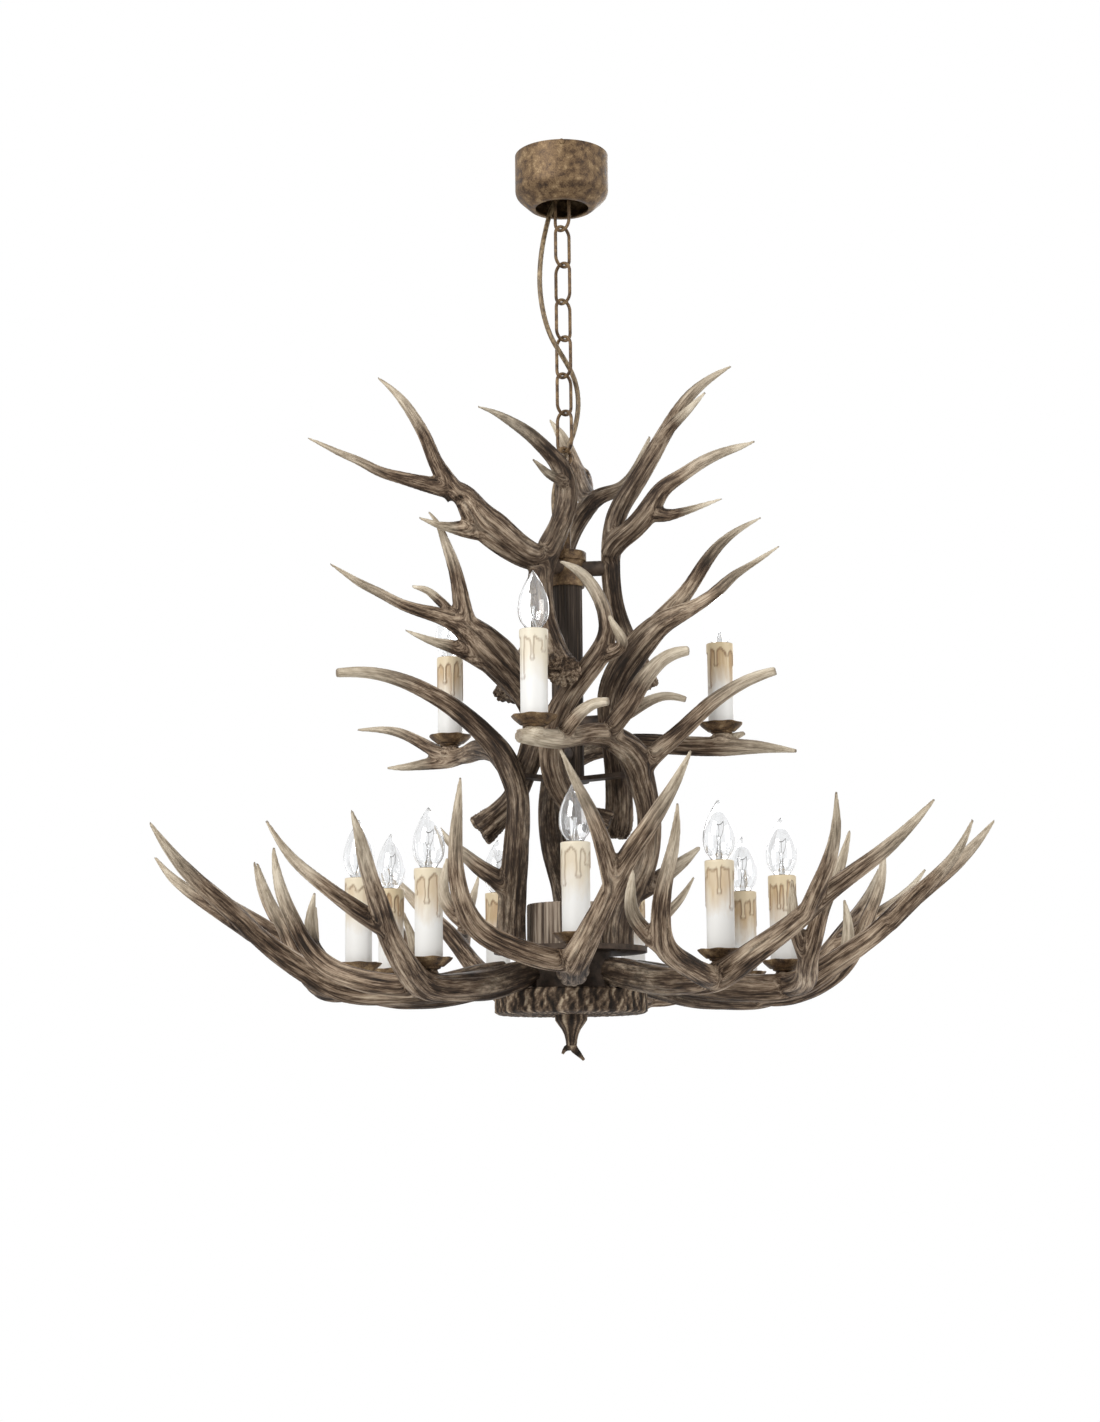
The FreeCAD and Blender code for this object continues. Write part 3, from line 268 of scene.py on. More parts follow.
MID_RIGHT = [
    [(617, 838, 8, 9), (617, 834, 8, 13.5), (618, 825, 7, 15), (619.5, 803, 2, 13.5),
     (617.5, 774, -6, 12.5), (613, 742, -12, 12.5), (610, 708, -19, 13), (615, 685, -25, 14.5),
     (627, 662, -29, 15.5), (645, 639, -34, 14.5), (661, 624, -38, 12), (679, 614, -42, 9.5),
     (696, 605.5, -45, 7), (710, 596.5, -47, 6.2), (722, 586.5, -49, 6.2), (733, 576.5, -51, 5),
     (748, 566.5, -53, 3.5), (763, 557, -55, 2.8), (779.5, 546, -57, 1.2)],
    [(645, 640, -33, 11), (662, 619, -27, 10), (678, 602, -22, 9), (690.5, 586, -18, 7.6),
     (703, 566.5, -14, 7), (715, 550, -11, 5.9), (729, 536.5, -8, 4.5), (744, 526.5, -5, 3.1),
     (761.5, 517.5, -3, 1.2)],
]
MID_FRONT = [
    [(608, 826, -44, 16), (602, 823, -44, 14.5), (587, 816, -46, 12), (569, 801, -52, 11.5),
     (556, 778, -62, 12), (551, 750, -76, 12.5), (553, 730, -84, 12.5), (561, 709, -90, 12),
     (571, 692, -93, 11.5), (582, 677, -95, 11), (593, 663, -98, 11), (603, 648, -100, 10.5),
     (607, 632, -100, 8.5), (605, 615, -99, 7.5), (600, 600, -97, 7.2), (590, 583, -95, 6.6),
     (577, 570, -91, 5), (559.5, 561, -87, 1.4)],
    [(603, 655, -100, 8), (613, 652, -106, 7), (622.5, 644, -111, 5.6), (617.5, 631, -114, 4.7),
     (608.5, 614.5, -116, 1.8)],
]
PILLAR_LEFT = [
    [(511, 950, -26, 15.5), (511, 945, -26, 15.5), (511, 920, -27, 14.5), (513, 890, -35, 13.5),
     (516, 855, -44, 12.5), (518, 820, -48, 12), (517, 792, -47, 12), (512, 775, -45, 12.5),
     (503, 756, -43, 12), (492, 742, -43, 11), (477, 727, -45, 10), (457, 710, -49, 9.5),
     (431, 693.5, -54, 8.5), (403, 681, -60, 7.4), (381, 674.5, -65, 6.4), (357, 672, -70, 5.5),
     (336, 673, -75, 4.6)],
    [(508, 768, -43, 11), (500, 756, -24, 11), (490, 750, 5, 11), (474, 751, 55, 10.5),
     (454, 756, 104, 8), (441, 753, 121, 7.4), (428, 747, 138, 7),
     (400, 733, 162, 5.8), (357.5, 730, 190, 1.6)],
    [(462, 756, 88, 8), (446, 762, 118, 7.2), (427, 764, 136, 6.5), (407, 767, 150, 4.5),
     (387.5, 768, 165, 1.8)],
    [(511, 893, -34, 10), (497, 879, -40, 9.5), (482, 869, -42, 8), (465, 855, -40, 6.5),
     (449, 841, -36, 4.5), (437.6, 825, -32, 1.5)],
]
PILLAR_RIGHT = [
    [(619, 950, -38, 15.5), (619, 945, -38, 15.5), (621, 918, -37, 15), (632, 890, -35, 13),
     (644, 864, -37, 12.5), (649, 835, -41, 12), (647, 803, -47, 12), (641, 778, -54, 14),
     (634, 757, -62, 15.5), (620, 743, -76, 13), (597, 734, -98, 11), (577, 736, -115, 10),
     (558, 739, -132, 10), (537, 737, -152, 9), (518, 735.5, -168, 6.2)],
    [(640, 768, -57, 13), (653, 755, -57, 10.5), (671, 740, -57, 9), (692, 721, -58, 8),
     (709, 705, -60, 7.5), (727, 692, -62, 7), (753, 678, -65, 6.2), (776, 670.5, -68, 4.5)],
    [(606, 739, -90, 10), (616, 722, -92, 10), (628, 706, -92, 9.5), (637, 690, -90, 9),
     (648, 674, -88, 8.4), (661, 661, -86, 7.4), (675, 653.5, -84, 6.5), (689, 650.5, -82, 4.8)],
    [(560, 738, -130, 8), (572, 721, -138, 7.5), (583, 710, -142, 6.5), (596, 703, -145, 5.5),
     (609.4, 701.6, -148, 4)],
    [(634, 893, -34, 10.5), (650, 885, -26, 9.5), (668, 873, -18, 8), (685, 860, -10, 6),
     (700, 847, -4, 2)],
]
PILLAR_BACK = [
    [(572, 950, 62, 15.5), (572, 945, 62, 15.5), (571, 920, 64, 15), (564, 885, 71, 14.5),
     (555, 848, 74, 14.5), (552, 815, 72, 14), (553, 790, 70, 13.5), (560, 768, 68, 14),
     (577, 755, 72, 13), (600, 748, 76, 11.5), (630, 744, 74, 10.5), (660, 744, 66, 10),
     (690, 746, 58, 10), (722, 747, 49, 10), (755, 747, 38, 7.5), (797, 751, 25, 2)],
    [(722, 745, 49, 7), (734, 737, 52, 5), (745, 733, 54, 2)],
    [(573, 757, 72, 11), (587, 742, 92, 10), (608, 724, 112, 9), (634, 709, 126, 7),
     (650, 700.5, 132, 5.8),
     (666, 696, 137, 4.8), (686, 699.5, 144, 3.6)],
]
UPPER_ANTLERS = {
    "top_antler_left": TOP_LEFT, "top_antler_right": TOP_RIGHT, "top_antler_back": TOP_BACK,
    "mid_antler_left": MID_LEFT, "mid_antler_right": MID_RIGHT, "mid_antler_front": MID_FRONT,
    "pillar_antler_left": PILLAR_LEFT, "pillar_antler_right": PILLAR_RIGHT,
    "pillar_antler_back": PILLAR_BACK,
}

# The mould of the nine arms: shares of the lamp's radius outwards and upwards, the turn in
# degrees, and the radius as a share
LAMP_RADIUS = 486 * MM
ARM_SHARES = [
    [(0.150, -4, 0.096, 0.0315), (0.205, -3.8, 0.086, 0.035),
     (0.300, -3.4, 0.068, 0.0345), (0.410, -3, 0.060, 0.0335), (0.530, -3, 0.065, 0.031),
     (0.620, -1.2, 0.105, 0.027), (0.710, 0.5, 0.162, 0.0238), (0.780, 2, 0.222, 0.0222),
     (0.846, 3.8, 0.273, 0.0195), (0.910, 5.6, 0.324, 0.017), (0.960, 7.2, 0.374, 0.011),
     (1.0, 8.5, 0.421, 0.0035)],
    [(0.745, 1.0, 0.185, 0.020), (0.805, -0.8, 0.238, 0.0195), (0.875, -3, 0.296, 0.016),
     (0.930, -5, 0.348, 0.011), (0.972, -6.5, 0.407, 0.0035)],
    [(0.500, -3, 0.063, 0.025), (0.560, -10, 0.066, 0.026), (0.608, -17, 0.086, 0.0245),
     (0.650, -22.8, 0.123, 0.0235), (0.681, -24.6, 0.166, 0.021), (0.709, -25.2, 0.225, 0.0185),
     (0.740, -24.5, 0.288, 0.015), (0.759, -23.6, 0.345, 0.010), (0.771, -22.8, 0.397, 0.0035)],
    [(0.632, -21, 0.105, 0.018), (0.648, -26, 0.147, 0.0175), (0.652, -28.5, 0.189, 0.0155),
     (0.650, -28.6, 0.236, 0.011), (0.643, -28, 0.281, 0.0035)],
]
# By arm: the turn away from its candle and the tilt, in degrees, then how far its tines turn
# beyond the candle, which they do between these two shares of the radius
ARM_TURNS = [0, 2.1, 0.4, 4.0, 2.6, 0, 0, 0, 0]
ARM_TILTS = [0.8, 0, -0.5, -1.4, 3.5, 0, -0.8, -1.6, 0]
TINE_TURNS = [0, 0, 0, 0, 0, -2.3, -4.6, -2.9, 4.5]
TINE_SHARES = (0.5, 0.62)
# By arm and branch, the turn and rise away from the mould at the tip, then halfway up
LEAN_SHARES = {
    (1, 0): (0, -0.04, 0, 0), (1, 1): (0, 0.015, 0, 0), (1, 3): (6, 0.005, 0, 0),
    (2, 0): (0, 0.013, 0, 0), (2, 1): (0, -0.025, 0, 0), (2, 2): (0, -0.01, 0, 0),
    (3, 0): (0.3, -0.018, 2, 0), (3, 1): (1, -0.005, 0, -0.02), (3, 2): (0, -0.02, 0, 0),
    (4, 0): (1.8, 0.008, 1.2, 0), (4, 1): (1.5, 0.03, 0.6, 0), (4, 2): (1.7, 0.03, 0.6, 0),
    (5, 0): (3.4, 0.002, 1.2, 0), (5, 1): (1.8, 0.012, 0.6, 0), (5, 2): (0.7, 0.01, 1.6, 0),
    (5, 3): (0.8, 0, 0, 0), (6, 0): (3, 0.038, 0, 0.008), (6, 1): (-4, 0.012, 0, 0),
    (6, 2): (-2, -0.012, 0, 0), (7, 1): (1.5, -0.008, 0, 0), (7, 2): (5, 0.03, 0, 0),
}
STRAIGHT = (0, 0, 0, 0)
# The branch that each branch of the mould grows from. A branch's root takes the lean of that
# branch, which the construction's arms don't do.
GROWS_FROM = (0, 0, 0, 2)
ARM_COUNT = len(ARM_TURNS)
FRONT_ARM = 1.1
CANDLE_SHARES = (0.502, 0.105)

# Candles and bulbs, whose outlines stand on the dish's underside
SLEEVE_LENGTH = 104 * MM
SLEEVE_RADIUS = 15.1 * MM
SLEEVE_BORE = 13.6 * MM
SLEEVE_COLUMNS = 120
# Millimetres between a sleeve's rows and between its columns, for the slope of its relief
SLEEVE_ROW, SLEEVE_COLUMN = 1.8, 0.8
BAND_HEIGHT = 0.9 * MM
STRAND_HEIGHT = 0.85 * MM
DISH_WALL = 1.4 * MM
LEVEL = DISH_WALL + SLEEVE_LENGTH
GLASS_WALL = 0.6 * MM
CAP_DEPTH = 29.7 * MM
# How far each sleeve's rim is browned
STAINS = [0.9, 1.0, 0.45, 0.5, 0.25, 0.6, 0.9, 0.85, 1.0, 0.1, 1.0, 0.8]
# The upper antlers that carry a candle, and which one
CARRIED = {"pillar_antler_right": 9, "pillar_antler_back": 10, "pillar_antler_left": 11}
UPPER_FOOT_POINTS = [(534.4, 724.4, -155), (721.4, 731.4, 49), (450.4, 743.6, 108)]

# Chain, cable and finial
LINK_TURN = math.radians(45)
KNOB_OUTLINE = [(5.8, -35), (6.6, -28), (9, -20), (13, -13.5), (17.4, -8), (19, -2),
                (18.6, -0.2)]
CABLE_ROUTE = [(-8, 27, -27), (-8, 27, -39), (-10.5, 22.5, -53), (-15.5, 15, -69),
               (-20, 5, -91), (-24, -6, -114), (-27, -13, -140),
               (-28, -17, -170), (-24, -18, -203), (-15, -15, -232), (-1, 1, -250),
               (13, 14, -272), (18, 17, -300), (14, 12, -332), (5, 17, -357),
               (-7, 14, -388), (-14, 9, -415), (-13.5, 2.5, -442), (-10.6, 0, -464),
               (-10.6, 0, -485.95)]
CABLE_LENGTH = 492.8 * MM

# Stage: the lamps' names, places and shares of the key light
LAMPS = [("key", (-2.4, -3.0, 1.2), 1.0), ("side", (3.0, -1.6, -0.2), 0.32),
         ("back", (0.8, 3.2, 0.8), 0.45)]
LAMP_SIZE = 2.4
LAMP_TARGET = (0, 0, -0.75)
FLOOR_REACH, FLOOR_DROP = 14.0, 1.1


# Patches: a patch is a grid of points with its quads, its end faces and its marks


def mm(*rows):
    """Rows given in millimetres, as an array in metres."""
    return np.array(rows, float) * MM


def columns(count):
    """The angles of a turned surface's columns, as one row."""
    return np.linspace(0, FULL, count, endpoint=False)[None]


def patch(rows, around=True, along=False, caps=True, **marks):
    """A patch from a grid of points, rows along and columns around. Quads join each point to
    the next one round and the next row, and a cap is one face over an open end."""
    rows = np.asarray(rows, float)
    count, width = rows.shape[:2]
    index = np.arange(count * width).reshape(count, width)
    here = index if along else index[:-1]
    up = np.roll(index, -1, axis=0) if along else index[1:]
    if around:
        quads = np.stack([here, np.roll(here, -1, 1), np.roll(up, -1, 1), up], axis=-1)
    else:
        quads = np.stack([here[:, :-1], here[:, 1:], up[:, 1:], up[:, :-1]], axis=-1)
    rims = [index[0][::-1], index[-1]] if caps and around and not along else []
    flat = {name: np.asarray(mark, float).reshape(count * width, -1)
            for name, mark in marks.items()}
    return {"points": rows.reshape(-1, 3), "quads": quads.reshape(-1, 4), "rims": rims,
            "marks": flat}


def frames(path, closed=False, side=None):
    """Tangents and two square directions at each station of a path. The side is carried
    along, made square to each tangent in turn, so that it doesn't twist."""
    if closed:
        ahead = np.roll(path, -1, 0) - np.roll(path, 1, 0)
    else:
        ahead = np.gradient(path, axis=0)
    ahead /= np.linalg.norm(ahead, axis=1, keepdims=True)
    if side is None:
        side = np.eye(3)[np.argmin(np.abs(ahead[0]))]
    sides = np.empty_like(ahead)
    for i, along in enumerate(ahead):
        side = side - along * (side @ along)
        side = side / np.linalg.norm(side)
        sides[i] = side
    return ahead, sides, np.cross(ahead, sides)


def tube(path, radii, count, closed=False, side=None, **marks):
    """A round tube: at each station the circle of its radius lies square to the path."""
    path = np.asarray(path, float)
    ahead, sides, ups = frames(path, closed, side)
    angle = columns(count)[..., None]
    ring = sides[:, None] * np.cos(angle) + ups[:, None] * np.sin(angle)
    rows = path[:, None] + ring * np.broadcast_to(radii, len(path))[:, None, None]
    return patch(rows, along=closed, **marks)


def turned(outline, count, closed=False, swell=0.0, **marks):
    """A surface of revolution about Z: each (radius, height) of the outline becomes a circle,
    and swell, an array over rows and columns, is added to the radius."""
    outline = np.asarray(outline, float)
    angle = columns(count)
    radius = np.repeat(outline[:, :1], count, axis=1) + swell
    height = np.repeat(outline[:, 1:2], count, axis=1)
    rows = np.stack([radius * np.cos(angle), radius * np.sin(angle), height], axis=-1)
    return patch(rows, along=closed, **marks)


def moved(surface, place):
    """The same patch, shifted."""
    return {**surface, "points": surface["points"] + np.asarray(place, float)}


def rounded(outline, radius, steps=4):
    """An open outline whose corners are cut by quadratic curves that begin and end at a
    distance from the corner: the radius, or half of the shorter side."""
    outline = np.asarray(outline, float)
    points = [outline[:1]]
    share = np.linspace(0, 1, steps)[:, None]
    for before, corner, after in zip(outline, outline[1:], outline[2:]):
        back, on = before - corner, after - corner
        near = min(radius, np.linalg.norm(back) / 2, np.linalg.norm(on) / 2)
        first = corner + back / np.linalg.norm(back) * near
        last = corner + on / np.linalg.norm(on) * near
        points.append((1 - share) ** 2 * first + 2 * share * (1 - share) * corner
                      + share ** 2 * last)
    points.append(outline[-1:])
    return np.vstack(points)


def spaced(outline, step):
    """The outline with points added so that none are further apart than the step."""
    outline = np.asarray(outline, float)
    spans = np.linalg.norm(np.diff(outline, axis=0), axis=1)
    marks = np.concatenate([[0], np.cumsum(spans)])
    more = [np.linspace(a, b, max(int(math.ceil((b - a) / step)), 1), endpoint=False)
            for a, b in zip(marks, marks[1:])]
    places = np.concatenate(more + [marks[-1:]])
    return np.stack([np.interp(places, marks, outline[:, k]) for k in range(outline.shape[1])], 1)


def blank_mesh(name, patches):
    """A mesh of all the patches, written with foreach_set."""
    starts = np.cumsum([0] + [len(p["points"]) for p in patches])
    points = np.vstack([p["points"] for p in patches])
    quads = np.vstack([p["quads"] + start for p, start in zip(patches, starts)])
    rims = [rim + start for p, start in zip(patches, starts) for rim in p["rims"]]
    corners = np.concatenate([quads.ravel()] + rims).astype(np.int32)
    sizes = np.concatenate([np.full(len(quads), 4), [len(rim) for rim in rims]]).astype(np.int32)
    begins = np.concatenate([[0], np.cumsum(sizes)[:-1]]).astype(np.int32)
    mesh = bpy.data.meshes.new(name)
    mesh.vertices.add(len(points))
    mesh.vertices.foreach_set("co", points.astype(np.float32).ravel())
    mesh.loops.add(len(corners))
    mesh.loops.foreach_set("vertex_index", corners)
    mesh.polygons.add(len(sizes))
    mesh.polygons.foreach_set("loop_start", begins)
    mesh.update(calc_edges=True)
    mesh.validate()
    for mark in patches[0]["marks"]:
        write_mark(mesh, mark, np.vstack([p["marks"][mark] for p in patches]))
    return mesh


def write_mark(mesh, name, values):
    """A value or vector kept at each point for the materials to read."""
    values = np.asarray(values, np.float32).reshape(len(mesh.vertices), -1)
    kind = "FLOAT_VECTOR" if values.shape[1] == 3 else "FLOAT"
    layer = mesh.attributes.new(name, kind, "POINT")
    layer.data.foreach_set("vector" if kind == "FLOAT_VECTOR" else "value", values.ravel())


def show(mesh, body, slot, nodes, material, crease=40):
    """Puts a finished mesh into the scene, on its body, in place of its nodes."""
    mesh.polygons.foreach_set("use_smooth", np.ones(len(mesh.polygons), bool))
    if crease:
        mesh.set_sharp_from_angle(angle=math.radians(crease))
    mesh.materials.append(material)
    piece = bpy.data.objects.new(mesh.name, mesh)
    bpy.context.scene.collection.objects.link(piece)
    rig.ride(piece, body)
    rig.slot(piece, slot)
    if nodes:
        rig.replaces(piece, *nodes)
    return piece


def dress(name, patches, node, slot="bronze", body="lamp", crease=40):
    """Shows the patches as one piece in place of a construction node."""
    return show(blank_mesh(name, patches), body, slot, [node], FINISHES[slot](), crease)


def coat(nodes, material):
    """Gives construction pieces that stay in sight their finish."""
    for node in nodes:
        piece = frame["nodes"][node]
        piece.data.materials.clear()
        piece.data.materials.append(material)


# Materials

RESIN_GLOSS = 0.2
BROWNS = [(0.37, (0.016, 0.01, 0.006)), (0.45, (0.075, 0.047, 0.029)),
          (0.52, (0.205, 0.145, 0.097)), (0.6, (0.39, 0.3, 0.213)), (0.71, (0.62, 0.51, 0.38))]
IVORIES = [(0.3, (0.17, 0.125, 0.08)), (0.45, (0.45, 0.375, 0.275)), (0.6, (0.68, 0.6, 0.47)),
           (0.78, (0.8, 0.74, 0.62))]


class Recipe:
    """Shader nodes under construction: added by type, with inputs by name."""

    def __init__(self, name, owner=None):
        self.owner = owner or bpy.data.materials.new(name)
        self.owner.use_nodes = True
        self.tree = self.owner.node_tree
        self.tree.nodes.clear()

    def put(self, socket, value):
        """Sets a socket to a value or joins it to another node's output."""
        if isinstance(value, bpy.types.NodeSocket):
            self.tree.links.new(value, socket)
        else:
            socket.default_value = value

    def add(self, kind, settings=None, **inputs):
        """A node with its inputs put in by name, or by number after an i."""
        node = self.tree.nodes.new("ShaderNode" + kind)
        for name, value in (settings or {}).items():
            setattr(node, name, value)
        for name, value in inputs.items():
            numbered = name[0] == "i" and name[1:].isdigit()
            self.put(node.inputs[int(name[1:]) if numbered else name.replace("_", " ")], value)
        return node

    def mark(self, name, output="Fac"):
        """What the mesh keeps under a name, as a value or a vector."""
        return self.add("Attribute", {"attribute_name": name}).outputs[output]

    def ramp(self, value, stops):
        """A colour ramp from (place, colour) stops."""
        node = self.add("ValToRGB", Fac=value)
        ramp = node.color_ramp
        for element, (place, colour) in zip(ramp.elements, (stops[0], stops[-1])):
            element.position, element.color = place, (*colour, 1)
        for place, colour in stops[1:-1]:
            ramp.elements.new(place).color = (*colour, 1)
        return node.outputs["Color"]

    def spread(self, value, low, high, start=0.0, end=1.0):
        """A value mapped from one range to another, held at its ends."""
        return self.add("MapRange", Value=value, From_Min=low, From_Max=high, To_Min=start,
                        To_Max=end).outputs["Result"]

    def sums(self, operation, first, second):
        """Arithmetic on two values."""
        return self.add("Math", {"operation": operation}, i0=first, i1=second).outputs[0]

    def blend(self, first, share, second, other):
        """The sum of two values, each times its share."""
        return self.sums("ADD", self.sums("MULTIPLY", first, share),
                         self.sums("MULTIPLY", second, other))

    def swing(self, value, share):
        """How far a value is from a half, times a share."""
        return self.sums("MULTIPLY", self.sums("SUBTRACT", value, 0.5), share)

    def mix(self, share, first, second):
        """One colour over another."""
        node = self.add("Mix", {"data_type": "RGBA", "blend_type": "MIX"}, i0=share)
        for index, colour in ((6, first), (7, second)):
            self.put(node.inputs[index], (*colour, 1) if isinstance(colour, tuple) else colour)
        return node.outputs[2]

    def noise(self, stretch, detail, rough, vector=None, shift=(0, 0, 0)):
        """Noise on a stretched and shifted vector, which is the place on the piece by default."""
        if vector is None:
            vector = self.add("TexCoord").outputs["Object"]
        place = self.add("Mapping", Vector=vector, Scale=stretch, Location=shift)
        return self.add("TexNoise", Vector=place.outputs[0], Scale=1.0, Detail=detail,
                        Roughness=rough).outputs["Fac"]

    def bump(self, height, strength, distance):
        """The normal over a relief."""
        return self.add("Bump", Height=height, Strength=strength, Distance=distance).outputs[0]

    def seen(self):
        """One for rays from the eye, in gloss and through glass, and zero for the others."""
        path = self.add("LightPath").outputs
        return self.sums("MAXIMUM", path["Is Camera Ray"],
                         self.sums("MAXIMUM", path["Is Glossy Ray"], path["Is Transmission Ray"]))

    def finish(self, **inputs):
        """The surface shader and the output."""
        shader = self.add("BsdfPrincipled", **inputs)
        self.add("OutputMaterial", Surface=shader.outputs[0])
        return self.owner


def once(make):
    """Keeps the material that a function makes, so that all its pieces share it."""
    kept = []

    def found():
        if not kept:
            kept.append(make())
        return kept[0]
    found.__doc__ = make.__doc__
    return found


@once
def antler_finish():
    """Brown antler resin: long dark streaks, dark grooves along each branch and pale tips."""
    recipe = Recipe("antler_resin")
    grain = recipe.mark("grain", "Vector")
    tip = recipe.mark("tip")
    streak = recipe.noise((260, 260, 15), 5.0, 0.65, grain)
    fibre = recipe.noise((900, 900, 60), 3.0, 0.65, grain, (3, 1, 7))
    blotch = recipe.noise((45, 45, 17), 3.0, 0.5, grain, (9, 4, 2))
    tone = recipe.sums("ADD", recipe.blend(streak, 0.62, fibre, 0.38), recipe.swing(blotch, 0.5))
    colour = recipe.mix(recipe.spread(tip, 0.25, 0.9), recipe.ramp(tone, BROWNS),
                        recipe.ramp(tone, IVORIES))
    # Painted shade: the mesh's mark of painted shade, broken up by noise, darkens the resin towards the lamp's axis
    # and low down.
    shade_breakup = recipe.spread(recipe.noise((210, 210, 90), 5.0, 0.7, grain, (5, 8, 1)),
                          0.42, 0.66, 1.0, 0.3)
    gloom = recipe.sums("MULTIPLY", recipe.mark("gloom"), shade_breakup)
    colour = recipe.mix(gloom, colour, (0.014, 0.009, 0.006))
    valley = recipe.spread(recipe.mark("groove"), 0.25, 0.95, 0, 0.62)
    colour = recipe.mix(valley, colour, (0.03, 0.018, 0.011))
    colour = recipe.mix(recipe.spread(tip, 0.965, 1.0, 0, 0.7), colour, (0.12, 0.085, 0.06))
    normal = recipe.bump(recipe.blend(streak, 0.6, fibre, 0.4), 0.55, 0.0014)
    return recipe.finish(Base_Color=colour, Roughness=recipe.spread(streak, 0.3, 0.7, 0.72, 0.5),
                         Specular_IOR_Level=0.18, Normal=normal)


@once
def column_finish():
    """Dark wood-like resin with fine upright streaks."""
    recipe = Recipe("column_resin")
    streak = recipe.noise((420, 420, 9), 5.0, 0.65)
    tone = recipe.blend(streak, 0.7, recipe.noise((90, 90, 5), 3.0, 0.5), 0.3)
    colour = recipe.ramp(tone, [(0.36, (0.008, 0.006, 0.004)), (0.5, (0.045, 0.032, 0.023)),
                                (0.6, (0.13, 0.095, 0.067)), (0.72, (0.3, 0.225, 0.16))])
    return recipe.finish(Base_Color=colour, Roughness=0.62, Specular_IOR_Level=RESIN_GLOSS,
                         Normal=recipe.bump(streak, 0.6, 0.0015))


@once
def drum_finish():
    """Wood with upright grain, worn pale on its ridges."""
    recipe = Recipe("wood_resin")
    streak = recipe.noise((330, 330, 12), 4.0, 0.6)
    colour = recipe.ramp(streak, [(0.3, (0.07, 0.05, 0.037)), (0.45, (0.2, 0.15, 0.11)),
                                  (0.58, (0.38, 0.31, 0.24)), (0.75, (0.56, 0.48, 0.39))])
    valley = recipe.spread(recipe.mark("groove"), 0.25, 0.95, 0, 0.8)
    colour = recipe.mix(valley, colour, (0.05, 0.035, 0.025))
    return recipe.finish(Base_Color=colour, Roughness=0.7, Specular_IOR_Level=RESIN_GLOSS,
                         Normal=recipe.bump(streak, 0.5, 0.0012))


@once
def bark_finish():
    """Dark bark with paler worn relief."""
    recipe = Recipe("bark_resin")
    lump = recipe.noise((110, 110, 60), 5.0, 0.6)
    grit = recipe.noise((520, 520, 520), 3.0, 0.6)
    tone = recipe.sums("ADD", recipe.blend(recipe.mark("relief"), 0.5, lump, 0.5),
                       recipe.swing(grit, 0.3))
    colour = recipe.ramp(tone, [(0.3, (0.012, 0.008, 0.005)), (0.45, (0.05, 0.033, 0.021)),
                                (0.6, (0.16, 0.11, 0.072)), (0.78, (0.5, 0.4, 0.28))])
    height = recipe.sums("ADD", lump, recipe.sums("MULTIPLY", grit, 0.5))
    return recipe.finish(Base_Color=colour, Roughness=0.68, Specular_IOR_Level=RESIN_GLOSS,
                         Normal=recipe.bump(height, 0.8, 0.002))


@once
def bronze_finish():
    """Rubbed bronze paint with rusty patches and dark pits."""
    recipe = Recipe("bronze")
    patchy = recipe.noise((95, 95, 95), 4.0, 0.6)
    tone = recipe.blend(patchy, 0.7, recipe.noise((700, 700, 700), 3.0, 0.6), 0.3)
    rust = tuple(bpy.context.scene.chandelier.bronze_colour)
    colour = recipe.ramp(tone, [(0.34, (0.022, 0.013, 0.008)), (0.45, (0.09, 0.053, 0.027)),
                                (0.56, rust), (0.7, (0.42, 0.31, 0.18))])
    return recipe.finish(Base_Color=colour, Metallic=0.35, Specular_IOR_Level=0.3,
                         Roughness=recipe.spread(patchy, 0.3, 0.7, 0.42, 0.66),
                         Normal=recipe.bump(tone, 0.5, 0.0007))


@once
def wax_finish():
    """Candle sleeve: white below, cream and amber where wax has run at the top."""
    recipe = Recipe("wax_plastic")
    stain = recipe.mark("stain")
    cloud = recipe.noise((55, 55, 22), 4.0, 0.6)
    edge = recipe.sums("ADD", recipe.mark("rise"), recipe.swing(cloud, 0.5))
    cream = recipe.spread(edge, 0.38, 0.75)
    aged = recipe.mix(stain, (0.74, 0.68, 0.55), (0.68, 0.55, 0.35))
    colour = recipe.mix(cream, tuple(bpy.context.scene.chandelier.wax_colour), aged)
    bare = recipe.sums("MULTIPLY", cream, recipe.sums("SUBTRACT", 1.0, recipe.mark("drip")))
    hollow = recipe.sums("MULTIPLY", bare,
                         recipe.spread(recipe.noise((150, 150, 18), 3.0, 0.5), 0.3, 0.52))
    amber = recipe.sums("MULTIPLY", recipe.sums("MULTIPLY", hollow, stain), 0.75)
    colour = recipe.mix(amber, colour, (0.42, 0.25, 0.11))
    line = recipe.sums("MULTIPLY", recipe.mark("edge"), recipe.spread(stain, 0, 1, 0.5, 0.8))
    colour = recipe.mix(line, colour, (0.22, 0.12, 0.055))
    return recipe.finish(Base_Color=colour, Roughness=0.42,
                         Normal=recipe.bump(cloud, 0.15, 0.001))


def mottled(name, stretch, detail, stops, rough, relief=None, **inputs):
    """A finish of one noise, which its colours follow, and its relief and its roughness too
    where these are given as a pair."""
    recipe = Recipe(name)
    noise = recipe.noise(stretch, *detail)
    if relief:
        inputs["Normal"] = recipe.bump(noise, *relief)
    if isinstance(rough, tuple):
        rough = recipe.spread(noise, 0.3, 0.7, *rough)
    return recipe.finish(Base_Color=recipe.ramp(noise, stops), Roughness=rough, **inputs)


@once
def steel_finish():
    """Dull zinc-plated steel with faint stains."""
    return mottled("steel", (60, 60, 60), (4.0, 0.6), [(0.3, (0.12, 0.11, 0.1)),
                   (0.7, (0.32, 0.31, 0.29))], (0.35, 0.55), (0.2, 0.0004), Metallic=0.8)


@once
def painted_finish():
    """Steel painted dark brown to go with the column."""
    return mottled("foot_paint", (80, 80, 80), (4.0, 0.6), [(0.3, (0.02, 0.014, 0.01)),
                   (0.7, (0.1, 0.07, 0.05))], 0.6, (0.4, 0.0008), Specular_IOR_Level=RESIN_GLOSS)


